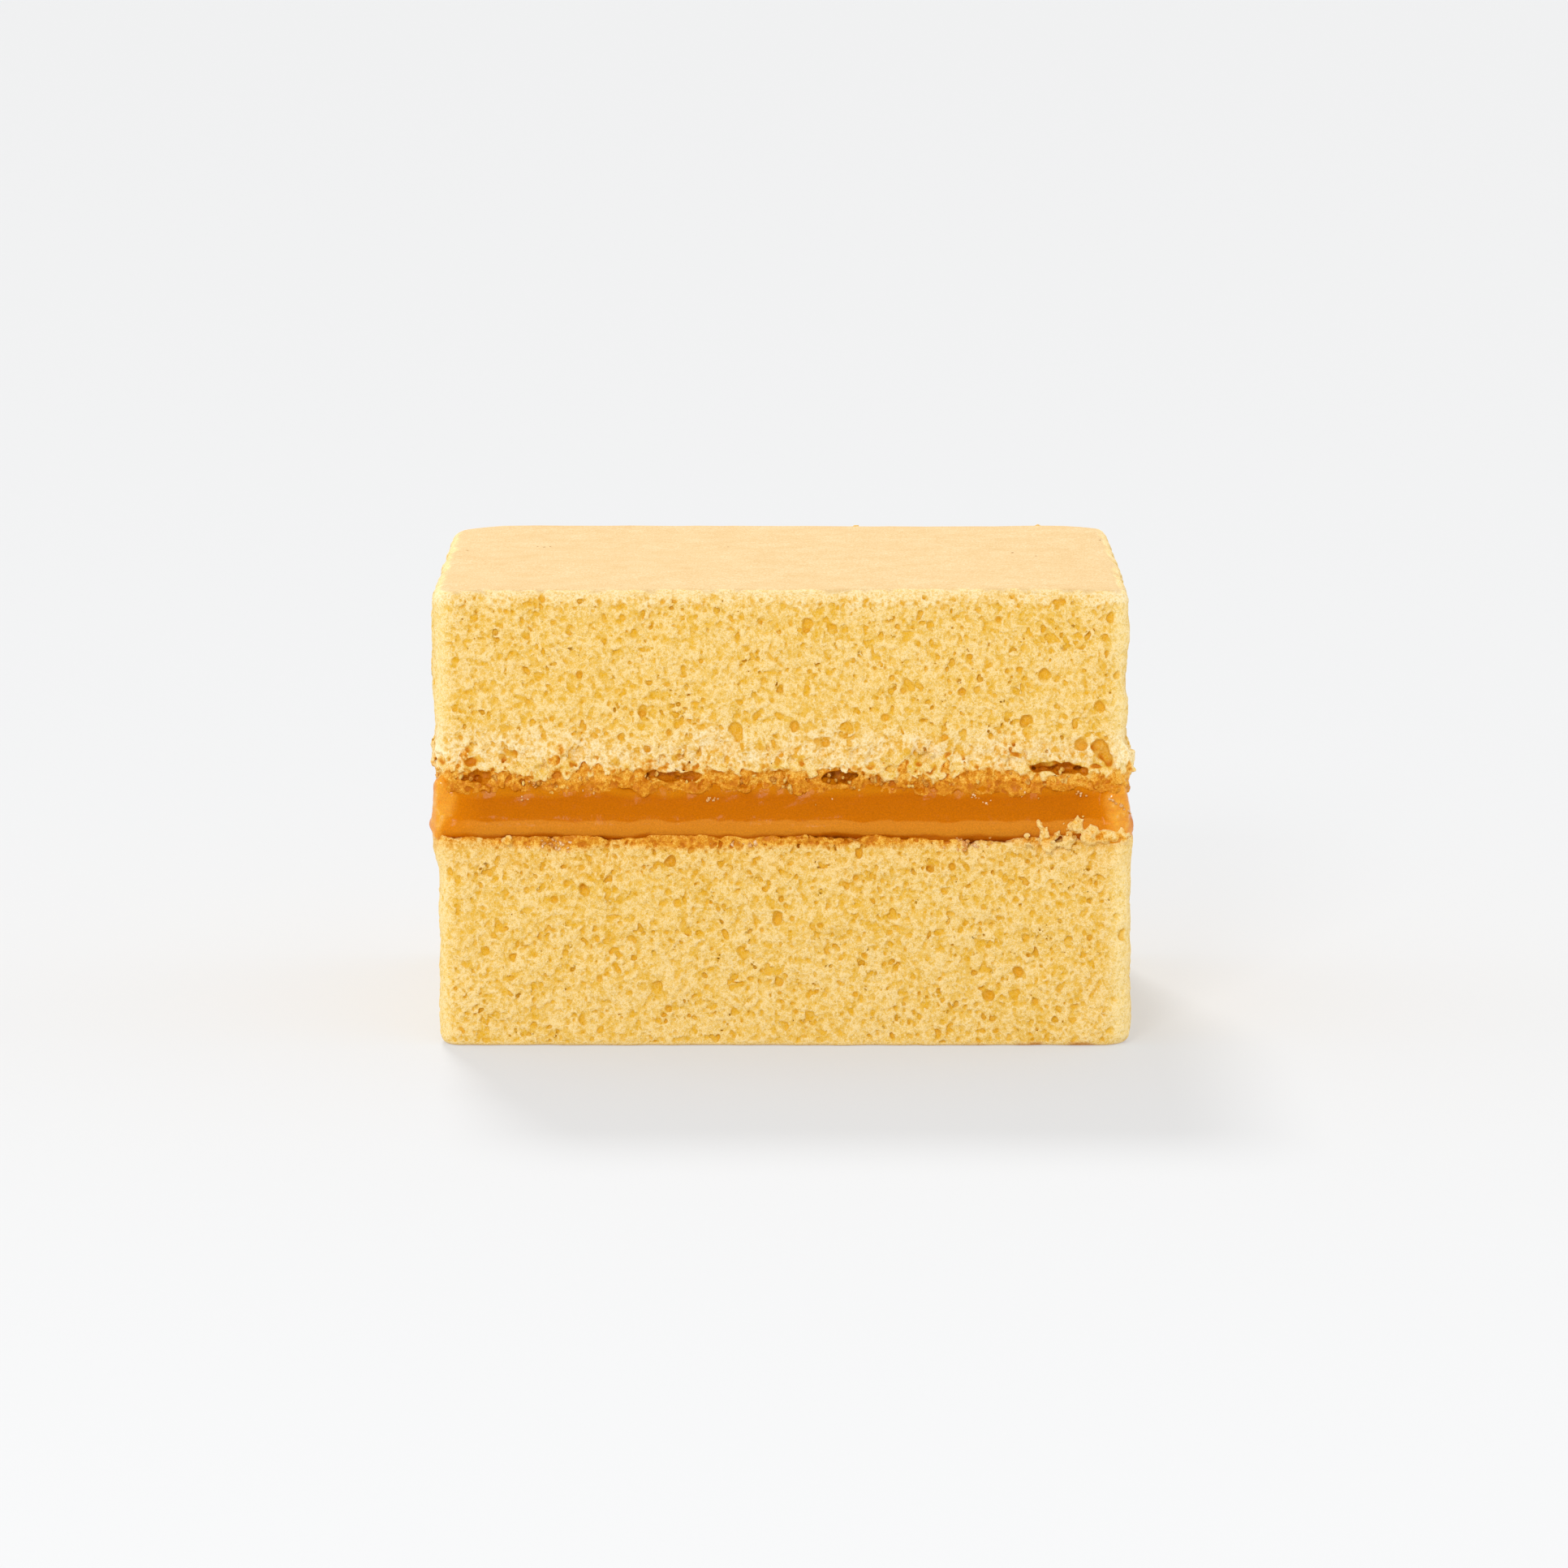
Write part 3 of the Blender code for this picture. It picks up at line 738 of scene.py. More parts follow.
def caramel_piece():
    """The filling's outer surface: a wavy lip below, a film smeared over the corners."""
    seed = SEEDS["caramel_filling"]
    stops = np.arange(0.0, AROUND, CARAMEL_STEP)
    at, outward = on_outline(stops)
    broad = np.array([swell(x, y, 0.0, LIP_WAVE_OUT, LIP_WAVE, seed) for x, y in at])
    sag = np.array([swell(x, y, 0.0, LIP_SAG, LIP_WAVE, seed + 3) for x, y in at])
    zeros = np.zeros(len(stops))
    flat = np.column_stack([stops, zeros, zeros])
    edge = CARAMEL_EDGE.at(flat)
    drips = np.maximum(LIP_DRIPS.at(flat), 0.0) ** 2
    corners = np.array([FRONT_LEFT, AROUND - FRONT_LEFT])
    gap = np.abs(stops[:, None] - corners).min(axis=1)
    painted_glow = np.tile(fade_out(gap, PAINTED_GLOW_REACH), CARAMEL_ROWS)
    bulge = fade_in(at[:, 0], BULGE_ACROSS) * fade_in(-at[:, 1], BULGE_DEEP)
    heights, outs = np.array(PROFILE).T
    points, films = [], []
    for row in np.linspace(0.0, 1.0, CARAMEL_ROWS):
        height = heights[0] + row * (heights[-1] - heights[0])
        ragged = CARAMEL_EDGE.at(np.column_stack([stops, 0.8 * height + zeros, zeros]))
        film = fade_in(FILM_HALF_WIDTH + 0.45 * ragged - gap, FILM_EDGE)
        films.append(film)
        rise, fall = fade_in(row, INNER_HALF), fade_out(row, LIP_PART)
        lifted = 0.25 * edge + FILM_RISE * film * (1.0 + 0.2 * edge)
        dropped = 0.35 * drips + FILM_DROP * film
        z = height + sag * rise * (1 - rise) * 4 + rise * lifted - fall * (dropped - 1.2 * sag)
        flow = np.column_stack([at, 2.5 * z])
        streaks = np.column_stack([2.5 * at, 0.35 * z])
        out = np.interp(height, heights, outs)
        ends = fade_in(row, LIP_END) * fade_out(row, INNER_END)
        spread = ends * (FILM_OUT + 0.1 * CARAMEL_EDGE.at(streaks)) - (1 - ends) * TUCKED_IN
        out = out + film * (spread - out)
        out = out + BULGE_OUT * bulge * ends
        out = out + ends * (0.03 * CARAMEL_WAVES.at(flow) + 0.012 * CARAMEL_FINE.at(flow))
        place = at + outward * (broad + out)[:, None]
        points.append(np.column_stack([place, z]))
    points = np.array(points)
    columns = len(stops)
    row_starts = np.arange(CARAMEL_ROWS - 1)[:, None] * columns
    first = (row_starts + np.arange(columns)).ravel()
    after = (row_starts + (np.arange(columns) + 1) % columns).ravel()
    faces = np.stack([first, after, after + columns, first + columns], axis=1)
    piece = mesh_object("caramel_filling_lip", points.reshape(-1, 3), faces)
    piece.data.shade_smooth()
    add_value(piece, "film", np.concatenate(films))
    add_value(piece, "painted_glow", painted_glow)
    return piece


def lump(draw, place, size, squash=(1.0, 1.0, 1.0), rings=4):
    """A small uneven ball: its points and faces."""
    sides = rings + 2
    points, faces = [], []
    for i in range(rings + 1):
        for k in range(sides if 0 < i < rings else 1):
            up, turn = math.pi * i / rings, 2 * math.pi * k / sides
            reach = size * draw.uniform(0.72, 1.28)
            ball = (math.sin(up) * math.cos(turn), math.sin(up) * math.sin(turn), math.cos(up))
            points.append([place[a] + reach * squash[a] * ball[a] for a in range(3)])
    last = len(points) - 1
    for k in range(sides):
        after = (k + 1) % sides
        faces.append((0, 1 + k, 1 + after))
        faces.append((last, last - sides + after, last - sides + k))
        for first in range(1, last - sides, sides):
            a, b, c, d = first + k, first + after, first + sides + k, first + sides + after
            faces += [(a, c, d), (a, d, b)]
    return points, faces


def lumps_piece(name, lumps):
    """One piece from many small balls."""
    points, faces = [], []
    for lump_points, lump_faces in lumps:
        faces += [tuple(len(points) + i for i in face) for face in lump_faces]
        points += lump_points
    piece = mesh_object(name, np.array(points), np.array(faces))
    piece.data.shade_smooth()
    return piece


def cluster(draw, lumps, x, z, spread, count, sizes, out):
    """Balls strewn round a place on the wall, counted round from the front's middle."""
    for ball in range(count):
        size = draw.uniform(*sizes)
        along = front_along(x) + draw.gauss(0.0, spread[0])
        beyond = out + draw.uniform(-0.1, 0.1)
        height = z + draw.gauss(0.0, spread[1])
        at, outward = outline(along % AROUND)
        at = at + beyond * outward
        squash = [draw.uniform(0.7, 1.3) for axis in range(3)]
        lumps.append(lump(draw, (at.x, at.y, height), size, squash))


# Wet beads along the filling's upper edge on the front, pale so that they stand in for glints as
# painted highlights: place and height
FRONT_GLINTS = (
    (-32.7, 32.2),
    (-31.6, 34.3),
    (-24.2, 33.2),
    (-8.9, 32.3),
    (7.9, 32.1),
    (25.2, 32.6),
    (27.3, 31.5),
    (30.9, 33.2),
    (38.6, 32.9),
)
OTHER_GLINTS = np.arange(50.0, AROUND - 50.0, 6.0)  # on the sides and the back
OTHER_GLINT_HEIGHTS = (32.4, 33.6)
# A pale streak of beads down the right corner, a painted highlight
GLINT_STREAK_FROM, GLINT_STREAK_TO = (42.2, 32.5), (44.8, 30.4)  # a wet crease down the right corner
GLINT_STREAK_CLUSTERS = 8
WET_SPOTS = (-29.0, -5.3, 24.0, 60.0, 95.0, 130.0, -62.0, -98.0, -135.0)  # under the lip
WET_SPOT_HEIGHT = 26.5


def wet_glint_beads():
    """Beads of syrup and wet crumbs above the filling and under its lip, pale so that they stand in
    for glints as painted highlights.
    """
    draw = random.Random(71)
    lumps = []
    others = tuple((x, draw.uniform(*OTHER_GLINT_HEIGHTS)) for x in OTHER_GLINTS)
    for x, z in FRONT_GLINTS + others:
        cluster(draw, lumps, x, z, (0.5, 0.25), draw.randint(4, 8), (0.09, 0.2), -0.32)
    for share in np.linspace(0.0, 1.0, GLINT_STREAK_CLUSTERS):
        x, z = (a + (b - a) * share for a, b in zip(GLINT_STREAK_FROM, GLINT_STREAK_TO))
        cluster(draw, lumps, x, z, (0.12, 0.1), 2, (0.1, 0.2), 0.8)
    for x in WET_SPOTS:
        cluster(draw, lumps, x, WET_SPOT_HEIGHT, (1.5, 0.4), 26, (0.14, 0.3), -0.2)
    return lumps_piece("wet_glint_beads", lumps)


RIM_CRUMB_STEP, FILLING_CRUMB_STEP = 1.5, 7.0
RIM_CRUMB_HEIGHT, FILLING_CRUMB_HEIGHTS = 34.4, (28.5, 32.5)
EDGE_CRUMBS = ((10.3, 0.32), (35.3, 0.4))  # at the top's back edge: place and size


def loose_crumbs():
    """Crumbs torn from the sponge that stick to the filling, the rims and the top's edge."""
    draw = random.Random(73)
    lumps = []
    for x in np.arange(-AROUND / 2, AROUND / 2, RIM_CRUMB_STEP):
        x, z = x + draw.uniform(-0.7, 0.7), RIM_CRUMB_HEIGHT + draw.uniform(-0.7, 1.4)
        cluster(draw, lumps, x, z, (0.4, 0.4), draw.randint(0, 3), (0.2, 0.45), -0.65)
    for x in np.arange(-AROUND / 2, AROUND / 2, FILLING_CRUMB_STEP):
        x, z = x + draw.uniform(-3.0, 3.0), draw.uniform(*FILLING_CRUMB_HEIGHTS)
        cluster(draw, lumps, x, z, (0.5, 0.3), draw.randint(0, 1), (0.08, 0.16), 0.1)
    cluster(draw, lumps, 36.5, 28.4, (1.6, 0.5), 8, (0.1, 0.24), 0.4)  # beside the shards
    cluster(draw, lumps, 41.5, 27.5, (0.9, 0.4), 6, (0.1, 0.22), 0.3)
    for x, size in EDGE_CRUMBS:
        place = x, DEPTH / 2 - 0.9, HEIGHT - 0.25
        lumps.append(lump(draw, place, size, (1.4, 1.0, 0.8)))
    return lumps_piece("loose_crumbs", lumps)


# Brown specks on the top: place in the plan and size
SPECKS = (
    (-41.7, 5.2, 0.16),
    (-32.5, 9.5, 0.13),
    (-31.6, 8.7, 0.16),
    (-30.8, 9.5, 0.13),
    (-7.0, 9.5, 0.13),
    (30.9, 3.5, 0.20),
    (33.9, 0.0, 0.14),
    (43.1, 17.4, 0.13),
)


def brown_specks():
    """The small brown specks on the top."""
    draw = random.Random(79)
    tops = [float(top_heights(np.array([x]), np.array([y]))[0, 0]) for x, y, size in SPECKS]
    lumps = [
        lump(draw, (x, y, top), size, (1.0, 1.6, 0.4))
        for (x, y, size), top in zip(SPECKS, tops)
    ]
    return lumps_piece("brown_specks", lumps)


class Nodes:
    """Short calls for building a material's node tree."""

    def __init__(self, name):
        self.material = bpy.data.materials.new(name)
        self.material.use_nodes = True
        self.tree = self.material.node_tree
        self.shader = self.tree.nodes["Principled BSDF"]
        place = self.add("ShaderNodeTexCoord")
        scale = self.add("ShaderNodeVectorMath", operation="SCALE")
        scale.inputs["Scale"].default_value = 1000.0
        self.tree.links.new(place.outputs["Object"], scale.inputs[0])
        self.place = scale.outputs["Vector"]

    def add(self, kind, **settings):
        node = self.tree.nodes.new(kind)
        for key, value in settings.items():
            setattr(node, key, value)
        return node

    def put(self, value, socket):
        if isinstance(value, bpy.types.NodeSocket):
            self.tree.links.new(value, socket)
        elif isinstance(value, tuple) and len(value) == 3 and socket.type == "RGBA":
            socket.default_value = (*value, 1.0)
        else:
            socket.default_value = value

    def math(self, operation, a, b=0.0, c=0.0):
        node = self.add("ShaderNodeMath", operation=operation)
        for value, socket in zip((a, b, c), node.inputs):
            self.put(value, socket)
        return node.outputs[0]

    def swayed(self, value, by, share):
        """A value moved up or down by how far another is from one half."""
        return self.math("MULTIPLY_ADD", self.math("SUBTRACT", by, 0.5), share, value)

    def attribute(self, name):
        return self.add("ShaderNodeAttribute", attribute_name=name).outputs["Fac"]

    def texture(self, kind, wavelength, place, **settings):
        node = self.add(kind)
        self.put(place, node.inputs["Vector"])
        self.put(1.0 / wavelength, node.inputs["Scale"])
        for name, value in settings.items():
            self.put(value, node.inputs[name])
        return node

    def noise(self, wavelength, detail=2.0, roughness=0.5):
        sizes = {"Detail": detail, "Roughness": roughness}
        return self.texture("ShaderNodeTexNoise", wavelength, self.place, **sizes).outputs["Fac"]

    def vector(self, operation, *values):
        node = self.add("ShaderNodeVectorMath", operation=operation)
        for value, socket in zip(values, node.inputs):
            self.put(value, socket)
        return node.outputs["Vector"]

    def warped(self, wavelength, size):
        colour = self.texture("ShaderNodeTexNoise", wavelength, self.place).outputs["Color"]
        centred = self.vector("SUBTRACT", colour, (0.5,) * 3)
        return self.vector("MULTIPLY_ADD", centred, (size,) * 3, self.place)

    def cells(self, wavelength, place):
        return self.texture("ShaderNodeTexVoronoi", wavelength, place).outputs["Distance"]

    def stretch(self, value, low, high, to_low=0.0, to_high=1.0, smooth=True):
        kind = "SMOOTHSTEP" if smooth else "LINEAR"
        node = self.add("ShaderNodeMapRange", interpolation_type=kind)
        for number, item in enumerate((value, low, high, to_low, to_high)):
            self.put(item, node.inputs[number])
        return node.outputs[0]

    def ramp(self, value, *stops):
        node = self.add("ShaderNodeValToRGB")
        elements = node.color_ramp.elements
        while len(elements) < len(stops):
            elements.new(0.5)
        for element, (position, *colour) in zip(elements, stops):
            element.position = position
            element.color = (*colour, 1.0)
        self.put(value, node.inputs["Fac"])
        return node.outputs["Color"]

    def mix(self, share, a, b, blend="MIX"):
        node = self.add("ShaderNodeMix", data_type="RGBA", blend_type=blend)
        self.put(share, node.inputs[0])
        self.put(a, node.inputs[6])
        self.put(b, node.inputs[7])
        return node.outputs[2]

    def finished(self, colour, roughness, normal, shine=0.5):
        """The material, with its shader's own sockets filled."""
        for name, value in (
            ("Base Color", colour),
            ("Roughness", roughness),
            ("Specular IOR Level", shine),
            ("Normal", normal),
        ):
            self.put(value, self.shader.inputs[name])
        return self.material

    def bump(self, height, distance, strength=1.0, normal=None):
        node = self.add("ShaderNodeBump")
        self.put(height, node.inputs["Height"])
        node.inputs["Distance"].default_value = distance * MM
        node.inputs["Strength"].default_value = strength
        if normal:
            self.put(normal, node.inputs["Normal"])
        return node.outputs["Normal"]


def crumb_material(name):
    """Open crumb, with a peel on the top, a torn pale rim and a soaked foot; shade is painted into
    its pores and light onto its front corners.
    """
    nodes = Nodes(name)
    values = "depth", "cavity", "peel", "soaked", "pale", "painted_corner_light", "browned"
    depth, cavity, peel, soaked, pale, painted_corner_light, browned = map(nodes.attribute, values)
    dish = nodes.cells(0.42, nodes.warped(0.5, 0.4))
    fine = nodes.noise(0.24, 3.0, 0.65)
    dust = nodes.noise(0.13, 1.0)
    mid = nodes.noise(0.8, 2.0, 0.6)
    patches = nodes.noise(5.0, 2.0)
    # Painted shade: the deeper and more hollow a point lies, the darker and more golden its colour,
    # standing in for the shade inside the pores and the deeper colour of light bouncing in them
    pit_shade = nodes.stretch(depth, -0.08, 0.32)
    skin_share = nodes.math("MULTIPLY", peel, nodes.stretch(pit_shade, 0.8, 0.4))
    open_here = nodes.math("SUBTRACT", 1.0, skin_share)
    # Painted shade in the small pores that are only bumps: the middle of each cell darker gold
    dish_shade = nodes.math("MULTIPLY", nodes.stretch(dish, 0.58, 0.15), open_here)
    tone = nodes.math("MULTIPLY_ADD", pit_shade, 0.46, 0.045)
    tone = nodes.swayed(tone, cavity, 0.22)
    tone = nodes.math("MULTIPLY_ADD", dish_shade, 0.12, tone)
    tone = nodes.swayed(tone, dust, nodes.stretch(pale, 0.0, 1.0, -0.85, -0.3))
    tone = nodes.swayed(tone, fine, -0.9)
    tone = nodes.swayed(tone, mid, -0.28)
    tone = nodes.swayed(tone, patches, -0.1)
    # Painted light: a paler tone at the front corners
    tone = nodes.math("MULTIPLY", tone, nodes.stretch(painted_corner_light, 0.0, 1.0, 1.0, 0.7))
    crumb = nodes.ramp(
        tone,
        (0.0, 0.92, 0.685, 0.31),
        (0.2, 0.845, 0.555, 0.150),
        (0.4, 0.81, 0.485, 0.075),
        (0.65, 0.79, 0.43, 0.018),
        (0.95, 0.77, 0.385, 0.003),
    )
    grain = nodes.noise(0.22, 2.0, 0.7)
    skin = nodes.ramp(
        nodes.swayed(nodes.swayed(grain, patches, 0.22), mid, 0.22),
        (0.25, 0.65, 0.387, 0.142),
        (0.5, 0.712, 0.49, 0.221),
        (0.72, 0.79, 0.637, 0.373),
    )
    tips = nodes.ramp(
        tone,
        (0.0, 0.95, 0.78, 0.46),
        (0.15, 0.89, 0.64, 0.27),
        (0.4, 0.80, 0.46, 0.08),
        (0.7, 0.76, 0.35, 0.009),
    )
    wet_tone = nodes.math("SUBTRACT", tone, 0.45)
    wet = nodes.ramp(
        nodes.math("MULTIPLY_ADD", nodes.math("MAXIMUM", soaked, 1.0), 0.45, wet_tone),
        (0.0, 0.92, 0.53, 0.09),
        (0.2, 0.78, 0.33, 0.018),
        (0.45, 0.645, 0.21, 0.003),
        (0.8, 0.545, 0.15, 0.001),
    )
    crumb = nodes.mix(pale, crumb, tips)
    colour = nodes.mix(skin_share, crumb, skin)
    # Painted light: the front corners lifted towards a paler yellow
    colour = nodes.mix(painted_corner_light, colour, (1.06, 1.13, 1.27), "MULTIPLY")
    colour = nodes.mix(soaked, colour, wet)
    crust = nodes.ramp(fine, (0.35, 0.50, 0.20, 0.03), (0.6, 0.66, 0.33, 0.08))
    colour = nodes.mix(browned, colour, crust)
    roughness = nodes.stretch(soaked, 0.0, 1.0, 0.8, 0.35)
    height = nodes.math("MULTIPLY", nodes.stretch(dish, 0.1, 0.5), open_here)
    normal = nodes.bump(height, 0.08, 0.7)
    normal = nodes.bump(fine, 0.06, 0.7, normal)
    normal = nodes.bump(nodes.math("MULTIPLY", grain, skin_share), 0.1, 0.5, normal)
    return nodes.finished(colour, roughness, normal, 0.15)


def caramel_material(name):
    """Soft caramel: dark amber, with painted light on the band where it swells to the lip and
    painted shade along the lip's underside.
    """
    nodes = Nodes(name)
    film = nodes.attribute("film")
    split = nodes.add("ShaderNodeSeparateXYZ")
    nodes.put(nodes.place, split.inputs[0])
    waves = nodes.noise(6.0, 2.0)
    fine = nodes.noise(0.9, 3.0)
    grain = nodes.noise(0.16, 1.0)
    level = nodes.swayed(split.outputs["Z"], waves, 1.9)
    level = nodes.swayed(level, fine, 0.25)
    # Painted light and shade by height: the lowest stop is painted shade under the lip, the lighter
    # stops up to where the lip ends are painted light on the swelling, the rest is the caramel's
    # own amber
    body = nodes.ramp(
        nodes.stretch(level, 27.4, 33.3, smooth=False),
        (0.03, 0.46, 0.11, 0.0007),
        (0.10, 0.63, 0.215, 0.012),
        (0.35, 0.635, 0.21, 0.014),  # where the lip ends
        (0.385, 0.55, 0.145, 0.0006),
        (0.85, 0.52, 0.132, 0.0005),
        (1.0, 0.60, 0.19, 0.002),
    )
    smear = nodes.ramp(
        fine,
        (0.3, 0.80, 0.27, 0.002),
        (0.58, 0.86, 0.36, 0.01),
        (0.82, 0.90, 0.52, 0.15),
    )
    # Painted glow: a lighter orange near the corners
    painted_glow = nodes.math("MULTIPLY", nodes.attribute("painted_glow"), 0.6)
    colour = nodes.mix(film, nodes.mix(painted_glow, body, (0.74, 0.21, 0.001)), smear)
    grain = nodes.stretch(grain, 0.25, 0.75, 0.86, 1.14, smooth=False)
    colour = nodes.mix(1.0, colour, grain, "MULTIPLY")
    shine = nodes.stretch(film, 0.0, 1.0, 0.035, 0.4)
    return nodes.finished(colour, 0.13, nodes.bump(fine, 0.12, 0.4), shine)


def ball_material(name, grain, roughness, bump, *stops):
    """A small ball's material, whose colour follows a fine grain."""
    nodes = Nodes(name)
    fine = nodes.noise(*grain)
    return nodes.finished(nodes.ramp(fine, *stops), roughness, nodes.bump(fine, *bump))


def glint_bead_material(name):
    """Wet crumb under syrup, painted pale so that it stands in for highlights."""
    stops = (0.38, 0.68, 0.28, 0.04), (0.54, 0.78, 0.42, 0.14), (0.7, 0.90, 0.66, 0.40)
    return ball_material(name, (0.5, 2.0), 0.17, (0.1, 0.5), *stops)


def speck_material(name):
    """Browned specks."""
    stops = (0.3, 0.36, 0.15, 0.03), (0.7, 0.62, 0.33, 0.10)
    return ball_material(name, (0.15, 1.0), 0.8, (0.03, 0.5), *stops)


def loose_material(name):
    """Small crumbs, some soaked with caramel."""
    nodes = Nodes(name)
    fine = nodes.noise(0.2, 2.0, 0.7)
    broad = nodes.noise(1.6, 1.0)
    dry = nodes.ramp(
        fine,
        (0.3, 0.74, 0.38, 0.04),
        (0.5, 0.82, 0.52, 0.12),
        (0.7, 0.90, 0.68, 0.28),
    )
    wet = nodes.ramp(
        fine,
        (0.3, 0.40, 0.11, 0.003),
        (0.5, 0.62, 0.25, 0.02),
        (0.7, 0.80, 0.45, 0.10),
    )
    colour = nodes.mix(nodes.stretch(broad, 0.46, 0.6), wet, dry)
    roughness = nodes.stretch(broad, 0.42, 0.55, 0.35, 0.85)
    return nodes.finished(colour, roughness, nodes.bump(fine, 0.08, 0.8), 0.2)


# Where the crumb's colours lie, as spans of height, of places across or of slope
PEEL_HEIGHTS, PEEL_SLOPES, SLOPE_SHARES = (HEIGHT - 1.5, HEIGHT - 0.7), (0.02, 0.15), (0.4, 3.0)
EDGE_PALE, EDGE_HEIGHTS = 0.8, (HEIGHT - 2.8, HEIGHT - 0.9)
PALE_RISE, PALE_FALL = (35.5, 37.5), (38.0, 43.0)
SOAKED_EDGE, SOAKED_MORE = (-0.6, 0.6), (33.9, 34.9)
LOWER_SOAKED, TINGED = (25.4, 27.2), (20.0, 25.0)
FRESH_HEIGHTS, FRESH_RIGHT, FRESH_LEFT = (27.1, 27.9), (28.0, 31.0), (33.5, 34.5)
DRY_RIGHT, DRY_LEFT, DRY_UNDER = (32.0, 37.0), (35.0, 39.0), (26.7, 27.3)
# Painted light: the front corners are painted paler, standing in for the light that reaches the
# rounded corners from the sides
CORNER_LIGHT_WIDE, CORNER_LIGHT_DEEP = (WIDTH / 2 - 3.0, WIDTH / 2 - 0.6), (30.5, 35.0)
BURNT_UNDER, FLECKS_UNDER, FLECKS_RIGHT = (0.03, 0.14), (0.3, 0.75), (24.0, 34.0)


def crumb_values(piece, upper):
    """How far each of the crumb's colours shows at each point of a piece."""
    points = vertex_points(piece)
    depth, cavity = (values_of(piece.data.attributes[k].data, "value") for k in DEPTHS)
    deep = np.clip(depth, -0.1, 0.5) + cavity - 0.5
    torn, torn_fine = TORN.at(points), TORN_FINE.at(points)
    x, y, z = points.T
    peel, pale, browned = (np.zeros(len(points)) for value in range(3))
    if upper:
        teeth = TEETH.at(points * (1.0, 1.0, 0.5))
        uneven = np.clip(1.0 + 0.5 * torn_fine + 0.4 * teeth, *SLOPE_SHARES)
        slope = 1.0 - values_of(piece.data.vertex_normals, "vector", 3)[:, 2]
        peel = fade_out(slope * uneven, PEEL_SLOPES)
        peel = peel * fade_in(z, PEEL_HEIGHTS)
        soaked = fade_in(soak_level(torn, torn_fine, teeth) + 3.0 * deep - z, SOAKED_EDGE)
        soaked = soaked * (1.0 + 0.5 * fade_out(z + 0.2 * torn_fine, SOAKED_MORE))
        pale = fade_in(z + 0.8 * torn, PALE_RISE) * fade_out(z + torn, PALE_FALL)
        edge = fade_in(z + 0.35 * torn_fine + 0.25 * teeth, EDGE_HEIGHTS)
        pale = np.maximum(pale, EDGE_PALE * edge)
    else:
        drawn_up = 0.12 * torn_fine + 0.3 * torn + 0.5 * deep
        soaked = 1.3 * fade_in(z + drawn_up, LOWER_SOAKED)
        fresh = fade_in(z - 0.4 * RAGGED.at(points) - 2.0 * deep, FRESH_HEIGHTS)
        fresh = fresh * (fade_in(x, FRESH_RIGHT) + fade_in(-x, FRESH_LEFT))
        mottle = fade_in(GRANULES.at(points) + 0.6 * GRIT.at(points), (0.0, 1.2))
        soaked = soaked * (1.0 - fresh * (0.85 - 0.6 * mottle))
        dry = 0.7 * fade_in(x, DRY_RIGHT) + 0.5 * fade_in(-x, DRY_LEFT)
        soaked = soaked * (1.0 - dry * fade_out(z, DRY_UNDER))
        soaked = np.maximum(soaked, 0.12 * fade_in(z + 0.8 * torn, TINGED))
        flecks = fade_in(x + 2.0 * torn, FLECKS_RIGHT)
        flecks = flecks * fade_in(torn_fine + 0.4 * torn, (-0.2, 0.9))
        browned = fade_out(z, BURNT_UNDER) + flecks * fade_out(z, FLECKS_UNDER)
        browned = np.minimum(browned, 1.0)
    # Painted light at the front corners
    painted_corner_light = fade_in(np.abs(x), CORNER_LIGHT_WIDE) * fade_in(-y, CORNER_LIGHT_DEEP)
    return {"peel": peel, "soaked": soaked, "pale": pale, "painted_corner_light": painted_corner_light, "browned": browned}


# Pieces
crumb = crumb_material("crumb")
layers = ("sponge_bottom", 0.0, FILLING_BOTTOM), ("sponge_top", FILLING_TOP, HEIGHT)
for name, low, high in layers:
    for piece in sponge_pieces(name, low, high):
        for key, value in crumb_values(piece, name == "sponge_top").items():
            add_value(piece, key, value)
        piece.data.materials.append(crumb)
        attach(piece, "root")
        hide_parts(name)

for piece, material, node, slot in (
    (caramel_piece(), caramel_material("caramel"), "caramel_filling", "caramel"),
    (wet_glint_beads(), glint_bead_material("bead"), "caramel_filling", "caramel"),
    (loose_crumbs(), loose_material("loose"), "sponge_top", "sponge_crumb"),
    (brown_specks(), speck_material("speck"), "sponge_top", "sponge_crumb"),
):
    piece.data.materials.append(material)
    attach(piece, "root")
    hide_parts(node)

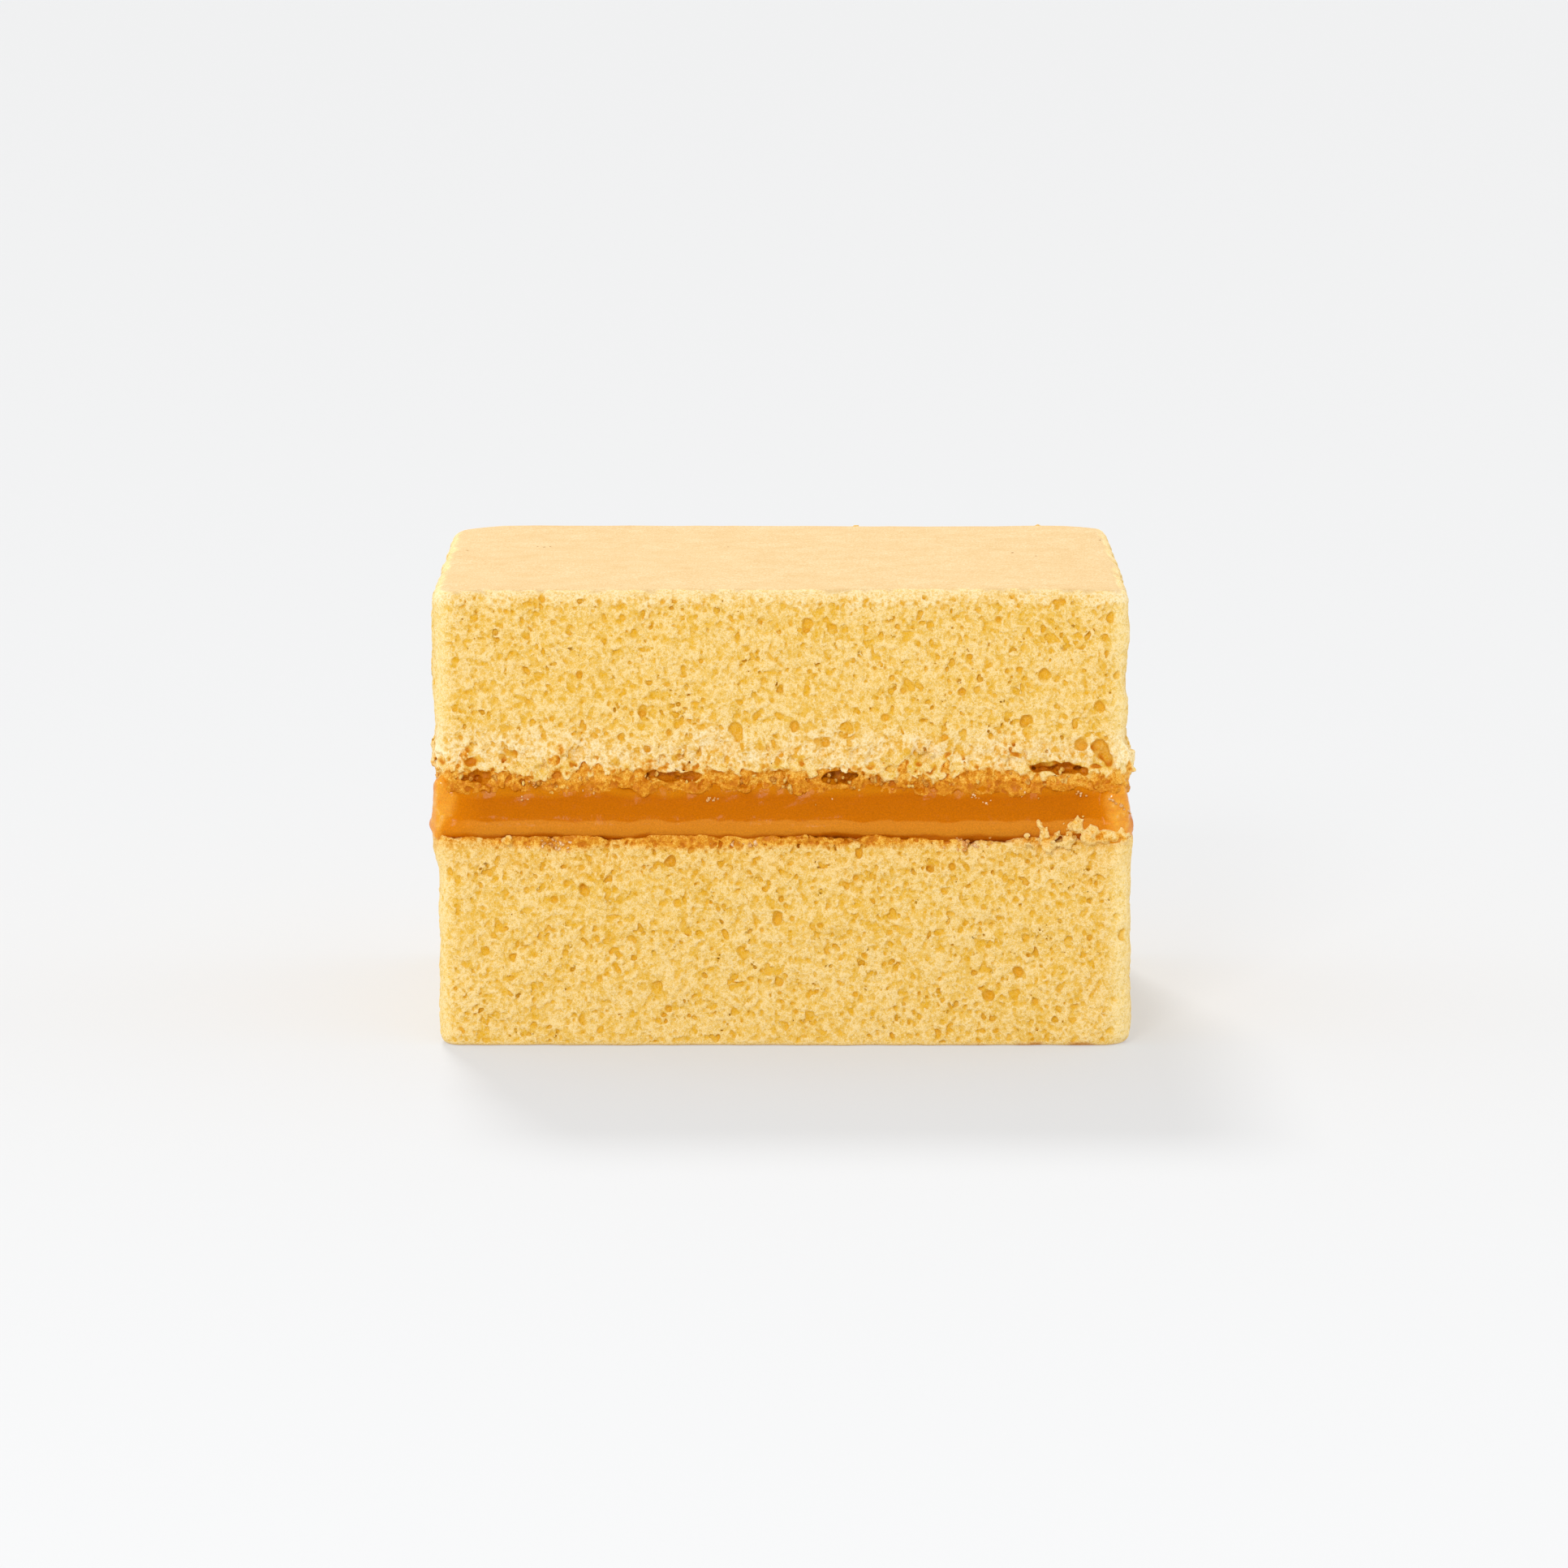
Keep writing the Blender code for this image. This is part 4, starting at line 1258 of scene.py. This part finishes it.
# Floor, light and camera
FLOOR_SIZE = 40.0
PAPER, PAPER_LIGHT = (0.366, 0.3715, 0.3775, 1), (1.008, 1.0, 0.992, 1)
PAPER_GLOW = 0.409  # the paper is lit from below too, so it takes up less of the cake's colour
SKY = 0.80
SUNS = (  # name, power, angle in degrees and direction
    ("sun", 1.9, 12, (0.19, -1.0, -0.86)),
    ("side_0", 0.38, 50, (-1.0, -0.25, -0.27)),
    ("side_1", 0.38, 50, (1.0, -0.25, -0.27)),
)
FILL_POWER, FILL_SIZE, FILL_PLACE = 8.0, 0.35, (-0.35, -1.45, 0.72)
FILL_AIM = Vector((0.0, 0.0, 0.03))
VIEW_DOWN = math.radians(8.65)
AIM = Vector((0.45, -DEPTH / 2, 34.3)) * MM
DISTANCE, LENS, CLIP = 1.0, 178.5, (0.05, 60.0)


def stage_object(name, data, way):
    """A light or camera that looks along a direction."""
    obj = bpy.data.objects.new(name, data)
    obj.rotation_euler = way.to_track_quat("-Z", "Y").to_euler()
    bpy.context.scene.collection.objects.link(obj)
    return obj


bpy.ops.mesh.primitive_plane_add(size=FLOOR_SIZE)
floor = bpy.context.object
floor.name = "floor"
paper = bpy.data.materials.new("floor")
paper.use_nodes = True
for name, value in (
    ("Base Color", PAPER),
    ("Roughness", 1.0),
    ("Specular IOR Level", 0.0),
    ("Emission Color", PAPER_LIGHT),
    ("Emission Strength", PAPER_GLOW),
):
    paper.node_tree.nodes["Principled BSDF"].inputs[name].default_value = value
floor.data.materials.append(paper)

world = bpy.data.worlds.new("studio")
bpy.context.scene.world = world
world.use_nodes = True
world.node_tree.nodes["Background"].inputs["Color"].default_value = (1, 1, 1, 1)
world.node_tree.nodes["Background"].inputs["Strength"].default_value = SKY

for name, power, angle, way in SUNS:
    sun_data = bpy.data.lights.new(name, "SUN")
    sun_data.energy = power
    sun_data.angle = math.radians(angle)
    stage_object(name, sun_data, Vector(way))
fill_data = bpy.data.lights.new("fill", "AREA")
fill_data.size = FILL_SIZE
fill_data.energy = FILL_POWER
fill = stage_object("fill", fill_data, FILL_AIM - Vector(FILL_PLACE))
fill.location = FILL_PLACE

camera_data = bpy.data.cameras.new("camera")
camera_data.lens = LENS
camera_data.clip_start, camera_data.clip_end = CLIP
sight = Vector((0.0, math.cos(VIEW_DOWN), -math.sin(VIEW_DOWN)))
camera = stage_object("camera", camera_data, sight)
camera.location = AIM - DISTANCE * sight
bpy.context.scene.camera = camera
bpy.context.scene.view_settings.view_transform = "Standard"
